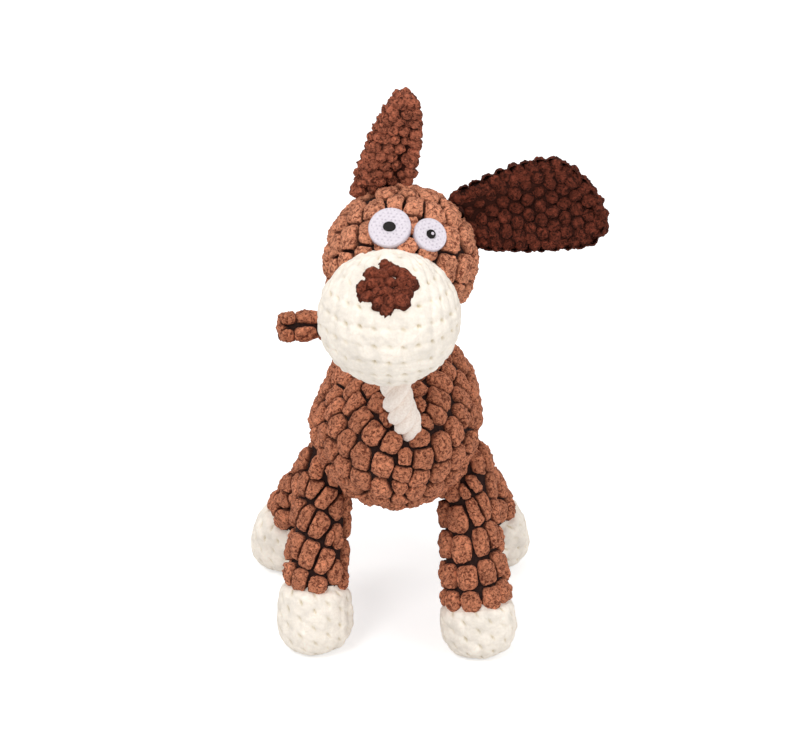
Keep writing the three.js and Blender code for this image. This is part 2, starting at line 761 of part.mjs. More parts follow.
// One plush panel of an ear: half of each oval section, on one face of the ear.
function earPanel(side, curve, across, face) {
  const rings = earStationShares.map((share, i) => {
    const { middle, wide, thick } = stationOn(curve, share * earLength[side], across);
    const forth = (earRootWidth[side] * earForthShares[side][i]) / 2;
    const back = (earRootWidth[side] * earBackShares[side][i]) / 2;
    const thickness = (earThickness[side] * earThickShares[side][i]) / 2;
    middle.addScaledVector(thick, (face * seamGap) / 2);
    return Array.from({ length: earSides }, (_, k) => {
      const angle = (Math.PI * k) / (earSides - 1);
      const reach = face * Math.cos(angle);
      const point = middle.clone().addScaledVector(wide, reach * (reach > 0 ? forth : back));
      return point.addScaledVector(thick, face * thickness * Math.sin(angle) ** 0.8);
    });
  });
  const tipOff = (earRootWidth[side] * earTipShares[side]) / 2;
  const closedAt = (share, off) => {
    const { middle, wide, thick } = stationOn(curve, share * earLength[side], across);
    middle.addScaledVector(wide, off);
    return middle.addScaledVector(thick, (face * earThickness[side]) / 8);
  };
  const root = closedAt(earStationShares[0], 0);
  const tip = closedAt(1, tipOff);
  return loft(rings, root, tip);
}

function makeEar(side) {
  const seat = heading(earTurn[side], earSlope[side]).multiplyScalar(headRadius);
  const tip = seat.clone().addScaledVector(earHeading[side].clone().normalize(), earLength[side]);
  const curve = new THREE.LineCurve3(seat, tip);
  const across = earSeam[side].clone().normalize();
  const hinge = { pivot: seat, axis: across, range: earRange[side] };
  const clearOfHead = swept(headRoom, hinge);
  const faces = { front: -1, back: 1 };
  return {
    name: "ear_" + side,
    hinge,
    pieces: Object.entries(faces).map(([face, sign]) =>
      piece(`ear_${side}_${face}`, cut(earPanel(side, curve, across, sign), ...clearOfHead), earPlush),
    ),
  };
}

// The whole toy

function together(pieces) {
  return new THREE.Group().add(...pieces);
}

const head = together([...makeHead(), makeNose(), ...makeEye("left"), ...makeEye("right")]);
head.position.copy(headMiddle);
const earParts = [makeEar("left"), makeEar("right")];
for (const ear of earParts) head.add(together(ear.pieces));

const legs = ["front", "rear"].flatMap((end) => [makeLeg(end, "left"), makeLeg(end, "right")]);
const limbs = [...legs, makeTail()];
const torso = together([...makeBody(), piece("neck_rope", neckForm(0), ropeCotton), makeSqueaker()]);
for (const limb of limbs) torso.add(together(limb.pieces));
torso.add(head);

const toy = new THREE.Group();
toy.add(torso);
const box = new THREE.Box3().setFromObject(toy, true);
const middle = box.getCenter(new THREE.Vector3());
torso.position.set(-middle.x, -middle.y, -box.min.z);

// Where the joints are, in the toy's own frame
const hinges = [
  { name: "neck", pivot: ropeSeat, axis: X, frame: torso },
  { name: "head", pivot: neckTop, axis: Z, frame: torso },
  ...limbs.map((limb) => ({ name: limb.name, ...limb.hinge, frame: torso })),
  ...earParts.map((ear) => ({ name: ear.name, ...ear.hinge, frame: head })),
];
toy.updateMatrixWorld(true);
toy.userData.hinges = hinges.map(({ name, pivot, axis, frame }) => ({
  name,
  pivot: frame.localToWorld(pivot.clone()),
  axis,
}));

export default toy;
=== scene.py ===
# %% [markdown]
# # A squeaky plush dog with a rope neck
#
# The real toy is sewn from puffed plush: cloth whose pile stands in rows of little pillows on a backing.
# Nearly everything that the eye sees is such a pillow, so this lesson is mostly about one thing: how to make
# one pillow well, and how to plant hundreds of them on curved forms in the rows that the cloth has.
#
# The imported CAD model is the fixed frame. Every visible piece is built round it, and most ride on its bodies.

import json
import math

import bpy
import numpy as np
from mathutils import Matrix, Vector


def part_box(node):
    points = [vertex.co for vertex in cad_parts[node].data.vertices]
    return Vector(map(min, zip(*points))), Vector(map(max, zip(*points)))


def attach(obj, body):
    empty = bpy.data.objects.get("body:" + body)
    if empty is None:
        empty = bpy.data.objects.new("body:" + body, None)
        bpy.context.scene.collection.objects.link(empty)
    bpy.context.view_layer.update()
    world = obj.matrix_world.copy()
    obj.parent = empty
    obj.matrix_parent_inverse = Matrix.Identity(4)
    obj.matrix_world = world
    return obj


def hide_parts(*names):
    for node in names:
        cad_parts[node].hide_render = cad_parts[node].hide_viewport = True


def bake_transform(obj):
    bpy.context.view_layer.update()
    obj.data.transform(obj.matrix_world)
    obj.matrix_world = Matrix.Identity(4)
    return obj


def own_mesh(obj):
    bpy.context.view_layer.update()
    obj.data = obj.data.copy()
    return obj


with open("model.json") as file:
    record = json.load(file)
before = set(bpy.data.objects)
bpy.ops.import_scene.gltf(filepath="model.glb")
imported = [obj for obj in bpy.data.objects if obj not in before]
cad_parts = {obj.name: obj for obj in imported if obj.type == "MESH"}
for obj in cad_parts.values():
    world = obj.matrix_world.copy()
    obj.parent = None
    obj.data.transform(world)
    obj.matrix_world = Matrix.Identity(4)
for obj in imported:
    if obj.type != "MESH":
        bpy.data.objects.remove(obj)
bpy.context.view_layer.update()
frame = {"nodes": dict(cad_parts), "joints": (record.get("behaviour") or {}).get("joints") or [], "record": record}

# %% [markdown]
# ## Millimetres and places
#
# A toy maker thinks in millimetres, and Blender counts in metres. All forms below are worked out in
# millimetres with numpy, and only the last step, which hands the points to Blender, scales them. The places
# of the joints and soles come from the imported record, so the looks follow the CAD when its sizes change.

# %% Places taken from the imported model
MM = 0.001


def millimetres(point):
    return np.array(point, float) / MM


def box_middle(node):
    low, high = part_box(node)
    return (millimetres(low) + millimetres(high)) / 2


def box_half(node):
    low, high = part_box(node)
    return (millimetres(high) - millimetres(low)) / 2


pivots = {joint["name"]: millimetres(joint["pos_m"]) for joint in frame["joints"] if "pos_m" in joint}
soles = {
    mount["name"].removeprefix("sole_"): millimetres(mount["pos_m"])
    for mount in frame["record"]["mounts"]
}
print("joints:", len(pivots), "soles:", sorted(soles))

# %% [markdown]
# ## Camera
#
# The photograph looks down on the dog by about 27 degrees from a good distance: the eye patches and the
# paws show the tilt, and the legs hardly grow towards the camera. A long lens at 1.2 m gives that.

# %% Camera
CAMERA_TARGET = np.array([-9.594, 5.707, 122.5])
CAMERA_SLOPE = math.radians(27)
CAMERA_DISTANCE = 1200
CAMERA_LENS = 137.73

camera_back = np.array([0, -math.cos(CAMERA_SLOPE), math.sin(CAMERA_SLOPE)])
camera_data = bpy.data.cameras.new("photograph_view")
camera_data.lens = CAMERA_LENS
camera_data.sensor_width = 36
camera_data.clip_start, camera_data.clip_end = 0.05, 50
camera = bpy.data.objects.new("photograph_view", camera_data)
camera.location = Vector((CAMERA_TARGET + CAMERA_DISTANCE * camera_back) * MM)
camera.rotation_euler = Vector(-camera_back).to_track_quat("-Z", "Y").to_euler()
bpy.context.scene.collection.objects.link(camera)
bpy.context.scene.camera = camera
bpy.context.scene.view_settings.view_transform = "Standard"
print("camera", CAMERA_DISTANCE, "mm away,", CAMERA_LENS, "mm lens")

# %% [markdown]
# ## Noise for cloth
#
# Fleece is never smooth, so every plush surface gets a little unevenness in its mesh. Adding up plane waves
# of random direction gives a soft noise that numpy works out for a hundred thousand points at once. Each
# use of random numbers has a seed of its own, so each run gives the same toy.

# %% Waves of random direction
def waves(points, size, count=22, seed=1):
    """Smooth noise from about -1 to 1 at points in mm. Its lumps are about size mm apart."""
    source = np.random.default_rng(seed)
    directions = source.normal(size=(count, 3))
    directions /= np.linalg.norm(directions, axis=1)[:, None]
    turns = 2 * np.pi / size * source.uniform(0.7, 1.35, (count, 1)) * directions
    phases = source.uniform(0, 2 * np.pi, count)
    return np.sin(points @ turns.T + phases).sum(1) / math.sqrt(count)


def unit(vectors):
    vectors = np.asarray(vectors, float)
    return vectors / np.linalg.norm(vectors, axis=-1, keepdims=True)


# %% [markdown]
# ## One pillow
#
# A pillow of pile is nearly a box with everything rounded: steep sides, a domed top and round corners. A
# superellipsoid is exactly that. A square grid is wrapped over the top of a ball, then each point is moved
# out to the superellipsoid. Two numbers set the look: how square the outline is, and how square the profile.

# %% The pillow's form
PILLOW_REACH = math.radians(108)  # how far round from the top the grid runs


def pillow_form(cells, outline, profile):
    """Points of a pillow in a box of half size 1, and the quads between them."""
    line = np.linspace(-1, 1, cells + 1)
    a, b = np.meshgrid(line, line, indexing="ij")
    polar = np.maximum(abs(a), abs(b)) * PILLOW_REACH
    around = np.arctan2(b, a)
    flat = np.sin(polar)
    direction = np.stack([flat * np.cos(around), flat * np.sin(around), np.cos(polar)], -1).reshape(-1, 3)
    across, along, up = abs(direction.T)
    size = ((across**outline + along**outline) ** (profile / outline) + up**profile) ** (1 / profile)
    points = direction / size[:, None]
    first = (np.arange(cells)[:, None] * (cells + 1) + np.arange(cells)).ravel()
    quads = np.stack([first, first + cells + 1, first + cells + 2, first + 1], -1)
    return points, quads


# %% [markdown]
# ## Planting pillows
#
# A pillow is told where its middle sits on the backing, which way is up, which way its column runs, and how
# strongly the backing curves both ways. The pile splays on a tight curve, as on a leg, and the base wraps
# round it. Small random turns and sizes keep the rows from looking stamped.

# %% Pillows as rows of numbers
DRAWN_IN = 0.65  # how strongly a curved backing draws in a pillow's foot
CORNER = 1.5  # how round a pillow's outline counts when it is pressed: 1 a diamond, 2 an ellipse
LUMP_SIZE, FLEECE_SIZE, FIBRE_SIZE = 5.5, 1.7, 0.95  # mm between the lumps of three sizes
PRESSED_FULL, PRESSED_SHADE = 1.1, 0.65  # mm pushed in for the full shade, and how much that shade is


class Pillows:
    """A list of pillows, each with its place, directions, half sizes, height and curvatures in mm."""

    def __init__(self):
        self.rows = []

    def add(self, middle, up, along, wide, long, high, curl_across=0.0, curl_along=0.0):
        up = unit(up)
        along = unit(along - np.dot(along, up) * up)
        across = np.cross(along, up)
        self.rows.append((*middle, *across, *along, *up, wide, long, high, curl_across, curl_along))

    def tops(self):
        """The places on the form, at the top of each pillow."""
        rows = np.array(self.rows).reshape(-1, 17)
        return rows[:, :3] + rows[:, 14:15] * rows[:, 9:12]

    def on_ball(self, ball, at, along, wide, long, high):
        """A pillow of that size whose top is at a point of a ball."""
        up = ball.up(at)
        along = unit(along - np.dot(along, up) * up)
        curl_across, curl_along = ball.curl(at, np.cross(along, up)), ball.curl(at, along)
        narrow, short = (1 - DRAWN_IN * high * curl / (1 + high * curl) for curl in (curl_across, curl_along))
        halves = (wide / 2 * narrow, long / 2 * short)
        self.add(at - high * up, up, along, *halves, high, curl_across, curl_along)

    def press(self, points, wide, long, crease, soft=0.35):
        """Flattens pillows where they lean on each other, and leaves a crease between them."""
        rows = np.array(self.rows)
        middle, across, along, up = (rows[:, 3 * i : 3 * i + 3] for i in range(4))
        centre = middle + 0.6 * rows[:, 14:15] * up
        for i in range(len(rows)):
            apart = centre - centre[i]
            distance = np.linalg.norm(apart, axis=1)
            near = (distance > 1e-6) & (distance < 2.2 * max(wide[i], long[i])) & (up @ up[i] > 0)
            for j in np.flatnonzero(near):
                way = apart[j] / distance[j]
                reach = [
                    ((wide[k] * abs(way @ across[k])) ** CORNER + (long[k] * abs(way @ along[k])) ** CORNER)
                    ** (1 / CORNER)
                    for k in (i, j)
                ]
                if sum(reach) < distance[j] - 0.5:
                    continue
                border = distance[j] * reach[0] / sum(reach) - crease / 2
                past = (points[i] - centre[i]) @ way - border
                points[i] -= ((past + np.sqrt(past**2 + soft**2)) / 2)[:, None] * way

    def planted(self, form, jitter=0.05, twist=5, lumps=0.3, fleece=0.24, crease=1.1, seed=1):
        """Points (pillow by pillow), quads, each point's share of the height (less where pressed: painted shade),
        tone.
        """
        shape, quads = form
        rows = np.array(self.rows)
        count = len(rows)
        middle, across, along, up = (rows[:, 3 * i : 3 * i + 3] for i in range(4))
        wide, long, high, curl_across, curl_along = rows[:, 12:].T
        source = np.random.default_rng(seed)
        wide = wide * (1 + jitter * source.uniform(-1, 1, count))
        long = long * (1 + jitter * source.uniform(-1, 1, count))
        high = high * (1 + 1.6 * jitter * source.uniform(-1, 1, count))
        turn = np.radians(twist) * source.uniform(-1, 1, count)
        tone = source.uniform(-1, 1, count)
        x = wide[:, None] * shape[:, 0]
        y = long[:, None] * shape[:, 1]
        z = high[:, None] * shape[:, 2]
        x, y = (
            x * np.cos(turn)[:, None] - y * np.sin(turn)[:, None],
            x * np.sin(turn)[:, None] + y * np.cos(turn)[:, None],
        )
        splay_across = 1 + z.clip(0) * curl_across[:, None]
        splay_along = 1 + z.clip(0) * curl_along[:, None]
        sink = curl_across[:, None] * x**2 * splay_across + curl_along[:, None] * y**2 * splay_along
        place = lambda u, v, w: (
            middle[:, None]
            + u[..., None] * across[:, None]
            + v[..., None] * along[:, None]
            + w[..., None] * up[:, None]
        )
        points = place(x * splay_across, y * splay_along, z - sink / 2)
        free = points.copy()
        if crease is not None:
            self.press(points, wide, long, crease)
        pressed = np.linalg.norm(points - free, axis=2).ravel()
        points = points.reshape(-1, 3)
        slope = np.sign(shape) * abs(shape) ** 1.6
        slope = slope[None] / np.stack([wide, long, high], -1)[:, None]
        outward = (
            slope[..., 0:1] * across[:, None]
            + slope[..., 1:2] * along[:, None]
            + slope[..., 2:3] * up[:, None]
        )
        outward = unit(outward.reshape(-1, 3))
        rise = np.tile(shape[:, 2].clip(0), count)
        fuzz = lumps * waves(points, LUMP_SIZE, seed=seed)
        fuzz = fuzz + fleece * waves(points, FLEECE_SIZE, seed=seed + 1)
        fuzz += 0.6 * fleece * waves(points, FIBRE_SIZE, seed=seed + 2)
        points = points + (fuzz * (0.35 + 0.65 * rise))[:, None] * outward
        faces = (quads[None] + (np.arange(count) * len(shape))[:, None, None]).reshape(-1, 4)
        # Painted shade: points that a neighbour pushed in count as lower, so the creases take the darker foot
        # colour.
        rise = rise * (1 - PRESSED_SHADE * np.clip(pressed / PRESSED_FULL, 0, 1))
        return points, faces, rise, np.repeat(tone, len(shape))


# %% [markdown]
# ## From points to a Blender mesh
#
# A piece of brown plush or an ear is one mesh with two materials, the backing and its pillows. Quilted and
# stitched pieces have no backing. Two numbers are kept at every point for the materials: how far up its
# pillow it is, which the materials turn into painted shade low down, and the pillow's own tone, because no
# two pillows take the dye alike.

# %% Meshes
def mesh_piece(name, parts, materials):
    """One object from parts, each (points in mm, faces, material number, rise, tone)."""
    points, faces, numbers, rises, tones = [], [], [], [], []
    start = 0
    for part_points, part_faces, number, rise, tone in parts:
        points.append(part_points)
        faces.extend((np.asarray(part_faces) + start).tolist() if isinstance(part_faces, np.ndarray)
                     else [[i + start for i in face] for face in part_faces])
        numbers.extend([number] * len(part_faces))
        rises.append(np.broadcast_to(rise, len(part_points)))
        tones.append(np.broadcast_to(tone, len(part_points)))
        start += len(part_points)
    mesh = bpy.data.meshes.new(name)
    mesh.from_pydata((np.concatenate(points) * MM).tolist(), [], faces)
    mesh.polygons.foreach_set("material_index", numbers)
    mesh.polygons.foreach_set("use_smooth", [True] * len(faces))
    for label, values in (("rise", rises), ("tone", tones)):
        layer = mesh.attributes.new(label, "FLOAT", "POINT")
        layer.data.foreach_set("value", np.concatenate(values).astype(np.float32))
    for material in materials:
        mesh.materials.append(material)
    mesh.update()
    piece = bpy.data.objects.new(name, mesh)
    bpy.context.scene.collection.objects.link(piece)
    print(name, len(mesh.vertices), "points,", len(mesh.polygons), "faces")
    return piece


def plush_piece(name, base, planted, knit, pile):
    """Planted pillows on their backing, as one object."""
    points, faces, rise, tone = planted
    return mesh_piece(name, [(*base, 0, 0.0, 0.0), (points, faces, 1, rise, tone)], [knit, pile])


def grid_faces(rings, count, closed_ends=True):
    """Quads between rings of count points, and a fan over each end point that follows the rings."""
    faces = []
    for ring in range(rings - 1):
        for i in range(count):
            j = (i + 1) % count
            faces.append([ring * count + i, ring * count + j, (ring + 1) * count + j, (ring + 1) * count + i])
    if closed_ends:
        start, end, last = rings * count, rings * count + 1, (rings - 1) * count
        for i in range(count):
            j = (i + 1) % count
            faces.append([start, j, i])
            faces.append([end, last + i, last + j])
    return faces


# %% [markdown]
# ## Materials
#
# Plush scatters light in its pile. A rough surface with sheen gives the soft pale edge, a fine bump gives
# the fleece, and the colour falls from the tips down to a painted shade at the foot of each pillow. Painted
# shade in small pits between the fibres and painted highlights on the curls are what makes it read as
# fleece rather than clay.

# %% Node helpers
def new_material(name):
    material = bpy.data.materials.new(name)
    material.use_nodes = True
    nodes, links = material.node_tree.nodes, material.node_tree.links
    return material, nodes, links, nodes["Principled BSDF"]


def noise_node(nodes, links, scale, detail=2.0, roughness=0.55):
    node = nodes.new("ShaderNodeTexNoise")
    node.inputs["Scale"].default_value = scale
    node.inputs["Detail"].default_value = detail
    node.inputs["Roughness"].default_value = roughness
    coordinates = nodes.new("ShaderNodeTexCoord")
    links.new(coordinates.outputs["Object"], node.inputs["Vector"])
    return node


def attribute_node(nodes, name):
    node = nodes.new("ShaderNodeAttribute")
    node.attribute_name = name
    return node


def ramp_node(nodes, links, source, *stops):
    """A colour ramp over (position, colour) stops."""
    node = nodes.new("ShaderNodeValToRGB")
    elements = node.color_ramp.elements
    while len(elements) < len(stops):
        elements.new(0.5)
    for element, (position, colour) in zip(elements, stops):
        element.position = position
        element.color = (*colour, 1)
    links.new(source, node.inputs["Fac"])
    return node


def mix_node(nodes, links, kind, share, first, second):
    """Mixes two colours. Share, first and second are values or sockets."""
    node = nodes.new("ShaderNodeMix")
    node.data_type, node.blend_type = "RGBA", kind
    for socket, value in ((0, share), (6, first), (7, second)):
        if isinstance(value, bpy.types.NodeSocket):
            links.new(value, node.inputs[socket])
        else:
            node.inputs[socket].default_value = value if socket == 0 else (*value, 1)
    return node.outputs[2]


def dull(shader, roughness, specular=0.1):
    shader.inputs["Roughness"].default_value = roughness
    shader.inputs["Specular IOR Level"].default_value = specular


def math_node(nodes, links, operation, *values):
    """The result of a calculation over values or sockets."""
    node = nodes.new("ShaderNodeMath")
    node.operation = operation
    for socket, value in zip(node.inputs, values):
        if isinstance(value, bpy.types.NodeSocket):
            links.new(value, socket)
        else:
            socket.default_value = value
    return node.outputs[0]


def add_bump(nodes, links, shader, source, strength, distance):
    node = nodes.new("ShaderNodeBump")
    node.inputs["Strength"].default_value = strength
    node.inputs["Distance"].default_value = distance
    links.new(source, node.inputs["Height"])
    links.new(node.outputs["Normal"], shader.inputs["Normal"])


def linear(red, green, blue):
    """A colour as a paint chart gives it, 0 to 255, for Blender's linear sockets."""
    return tuple(
        c / 12.92 if c <= 0.04045 else ((c + 0.055) / 1.055) ** 2.4
        for c in (red / 255, green / 255, blue / 255)
    )


# %% Plush
def plush(
    name, tip, foot, pit, pit_share=0.75, curl=720, tone=0.1, sheen=0.14, bump=1.0, foot_to=0.5, light=1.25
):
    """Fleece: tip colour on its pillows, painted shade at their foot and in pits, painted highlights on crests."""
    material, nodes, links, shader = new_material(name)
    rise = attribute_node(nodes, "rise")
    # Painted shade: the foot colour runs up each pillow to foot_to, darkest where pillows meet.
    body = ramp_node(nodes, links, rise.outputs["Fac"], (0.0, foot), (foot_to, tip), (1.0, tip))
    broad = noise_node(nodes, links, 200, 3.0, 0.6)
    fine = noise_node(nodes, links, curl, 3.0, 0.62)
    fine.inputs["Distortion"].default_value = 0.9
    blotch = ramp_node(nodes, links, broad.outputs["Fac"], (0.3, (0.86,) * 3), (0.7, (1.1,) * 3))
    colour = mix_node(nodes, links, "MULTIPLY", 1.0, body.outputs["Color"], blotch.outputs["Color"])
    # Painted highlight: the crests of the fine noise are lightened by the light factor.
    crests = ramp_node(nodes, links, fine.outputs["Fac"], (0.52, (1,) * 3), (0.64, (light,) * 3))
    colour = mix_node(nodes, links, "MULTIPLY", 1.0, colour, crests.outputs["Color"])
    # Painted shade: the pits of the fine noise go towards the pit colour.
    pits = ramp_node(nodes, links, fine.outputs["Fac"], (0.4, (1,) * 3), (0.49, (0,) * 3))
    share = math_node(nodes, links, "MULTIPLY", pits.outputs["Color"], pit_share)
    colour = mix_node(nodes, links, "MIX", share, colour, pit)
    own = attribute_node(nodes, "tone")
    shade = math_node(nodes, links, "MULTIPLY_ADD", own.outputs["Fac"], tone, 1.0)
    colour = mix_node(nodes, links, "MULTIPLY", 1.0, colour, shade)
    links.new(colour, shader.inputs["Base Color"])
    dull(shader, 0.95)
    shader.inputs["Sheen Weight"].default_value = sheen
    shader.inputs["Sheen Roughness"].default_value = 0.45
    shader.inputs["Sheen Tint"].default_value = (*(0.15 + 0.85 * level for level in tip), 1)
    add_bump(nodes, links, shader, fine.outputs["Fac"], bump, 0.0013)
    return material


def backing(name, colour, pale):
    """The flat knit that the pillows stand on, near black: painted shade for the gaps between them."""
    material, nodes, links, shader = new_material(name)
    knit = noise_node(nodes, links, 1100, 2.0, 0.6)
    shades = ramp_node(nodes, links, knit.outputs["Fac"], (0.35, colour), (0.7, pale))
    links.new(shades.outputs["Color"], shader.inputs["Base Color"])
    dull(shader, 0.95)
    add_bump(nodes, links, shader, knit.outputs["Fac"], 0.5, 0.0004)
    return material


# Each plush: tip colour, then foot and pit colours that are painted shade, and the share of pit shade.
brown_pile = plush(
    "brown_pile", linear(197, 125, 93), linear(50, 23, 17), linear(90, 40, 28), 0.85,
    curl=770, sheen=0.25, light=1.5,
)
# Painted light: a lighter copy of the brown plush for the head, standing for more light from above.
head_painted_light_pile = plush(
    "head_painted_light_pile", linear(213, 142, 109), linear(56, 26, 19), linear(104, 48, 34), 0.85,
    curl=770, sheen=0.25, light=1.5,
)
# Painted shade: the near-black backing stands for the shade down in the gaps between pillows.
brown_backing = backing("brown_backing", linear(38, 25, 23), linear(58, 40, 36))
# Painted shade: the cream's yellowish foot colour darkens the stitch dents of the muzzle and paws.
cream_pile = plush(
    "cream_pile", linear(252, 243, 231), linear(206, 188, 146), linear(243, 232, 214), 0.3, tone=0.0,
    sheen=0.1, bump=0.4, foot_to=0.9, light=1.02,
)
ear_pile = plush(
    "ear_pile", linear(96, 45, 32), linear(44, 19, 13), linear(34, 14, 9), 0.8,
    curl=640, sheen=0.08, foot_to=0.75, light=1.75,
)
# Painted light: a lighter copy of the ear plush for the upright right ear, whose face is lit.
ear_painted_light_pile = plush(
    "ear_painted_light_pile", linear(160, 92, 69), linear(56, 25, 18), linear(62, 27, 19), 0.85, curl=640, sheen=0.1,
    foot_to=0.75, light=1.6,
)
# Painted shade: near black, for the gaps between the ear's bumps.
ear_backing = backing("ear_backing", linear(48, 23, 17), linear(64, 31, 23))
nose_pile = plush(
    "nose_pile", linear(134, 69, 50), linear(28, 11, 8), linear(46, 19, 13), 0.7, curl=760, sheen=0.1,
    foot_to=0.85, light=1.5,
)
print("plush in five colours")

# %% [markdown]
# ## Columns of pillows on a ball
#
# The body and the head are egg forms. Their cloth is cut so that the columns run up and down, side by side
# at a fixed spacing, and stop where they meet a seam. So each column is followed over the egg from its
# widest level, one pillow at a time, and a pillow whose middle lies past the seam is left out.

# %% Walking along the columns of a ball
class Ball:
    """An egg form by its middle and half sizes in mm. Azimuth 0 is the front, and +90 degrees is +X."""

    def __init__(self, middle, half):
        self.middle, self.half = np.asarray(middle, float), np.asarray(half, float)

    def at(self, azimuth, latitude):
        level = math.cos(latitude)
        return self.middle + self.half * (
            level * math.sin(azimuth),
            -level * math.cos(azimuth),
            math.sin(latitude),
        )

    def up(self, point):
        return unit((point - self.middle) / self.half**2)

    def curl(self, point, direction):
        """How strongly the form curves at a point in a direction, in 1/mm."""
        normal = (point - self.middle) / self.half**2
        return float(np.sum((unit(direction) / self.half) ** 2) / np.linalg.norm(normal))

    def inside(self, point, room=0.0):
        return float(np.sum(((point - self.middle) / (self.half + room)) ** 2)) < 1


class Column:
    """Arc lengths round the widest level of a ball, from one azimuth on in one direction."""

    def __init__(self, ball, origin, side):
        turns = np.linspace(0, np.pi, 721)
        level = np.array([ball.at(origin + side * turn, 0) for turn in turns])
        steps = np.linalg.norm(np.diff(level, axis=0), axis=1)
        self.ball, self.origin, self.side, self.turns = ball, origin, side, turns
        self.arcs = np.concatenate([[0], np.cumsum(steps)])

    def at(self, arc, latitude):
        turn = np.interp(arc / math.cos(latitude), self.arcs, self.turns)
        return self.ball.at(self.origin + self.side * turn, latitude)

    def quarter(self):
        return float(np.interp(np.pi / 2, self.turns, self.arcs))


def plant_ball(pillows, ball, origin, side, reach, wide, long, high, swell, top=84, bottom=-84, slant=0.25,
               keep=lambda point: True, apart=0.0, seed=1):
    """Plants the columns of one panel. Reach gives the panel's width in mm at a latitude."""
    column = Column(ball, origin, side)
    source = np.random.default_rng(seed)
    small = math.radians(0.5)
    number = 0
    while number * wide < reach(0):
        arc = (number + 0.5) * wide
        for way in (1, -1):
            latitude = 0.0
            offset = (number * slant % 1) * long - (0 if way > 0 else long)
            while True:
                step = column.at(arc, latitude + small) - column.at(arc, latitude - small)
                latitude += offset / (np.linalg.norm(step) / 2 / small)
                offset = way * long
                if not math.radians(bottom) < latitude < math.radians(top) or reach(latitude) < arc:
                    break
                at = column.at(arc, latitude)
                if keep(at) and not (np.linalg.norm(pillows.tops() - at, axis=1) < apart * wide).any():
                    along = column.at(arc, latitude + small) - column.at(arc, latitude - small)
                    lean = source.uniform(-0.05, 0.05) * np.linalg.norm(along)
                    along += lean * np.cross(along, ball.up(at))
                    pillows.on_ball(ball, at, along, wide * swell, long * swell, high)
        number += 1


def lay_on_ball(pillows, ball, table, high, swell):
    """Lays a table's pillows: degrees round and above level, width and length in mm, degrees of turn."""
    for turn, slope, wide, long, lean in table:
        azimuth, latitude, lean = math.radians(turn), math.radians(slope), math.radians(lean)
        at = ball.at(azimuth, latitude)
        up = ball.up(at)
        north = unit(np.array([0, 0, 1]) - up[2] * up)
        east = np.cross(north, up)
        along = math.cos(lean) * north + math.sin(lean) * east
        pillows.on_ball(ball, at, along, wide * swell, long * swell, high)


def fill_ball(pillows, ball, wide, long, high, room, keep=lambda point: True):
    """Plants a pillow wherever the nearest one is farther away than that room."""
    for slope in range(-84, 85, 3):
        for turn in range(-180, 180, 3):
            at = ball.at(math.radians(turn), math.radians(slope))
            if keep(at) and np.linalg.norm(pillows.tops() - at, axis=1).min() > room:
                up = ball.up(at)
                pillows.on_ball(ball, at, np.array([0, 0, 1]) - up[2] * up, wide, long, high)


def ball_backing(ball, depth, rings=40, count=64, ripple=0.12, seed=3):
    """The backing of an egg form, that deep under its pile."""
    inner = Ball(ball.middle, ball.half - depth)
    latitudes = np.linspace(-np.pi / 2, np.pi / 2, rings + 2)[1:-1]
    azimuths = np.linspace(0, 2 * np.pi, count, endpoint=False)
    points = np.array([inner.at(azimuth, latitude) for latitude in latitudes for azimuth in azimuths])
    ends = [inner.middle - (0, 0, inner.half[2]), inner.middle + (0, 0, inner.half[2])]
    points = np.vstack([points, ends])
    points += (ripple * waves(points, 4, seed=seed))[:, None] * unit(points - inner.middle)
    faces = grid_faces(rings, count)
    return points, faces


# %% [markdown]
# ## Body
#
# The barrel body is two side panels that meet in a seam down the chest, over the back and under the belly.
# The rope comes out of the chest seam, a little to the dog's left. The pillows are about 9 by 12 mm. Those on
# the chest come from a table, the columns cover the rest, and small pillows go where a spot is left bare. The
# body is a little slimmer at its upper back on the dog's right.
#
# The tables for the chest, the face, the nose and the legs began as marks made on the photograph. A helper
# program turned those marks into angles and sizes, and some rows were changed by hand afterwards.

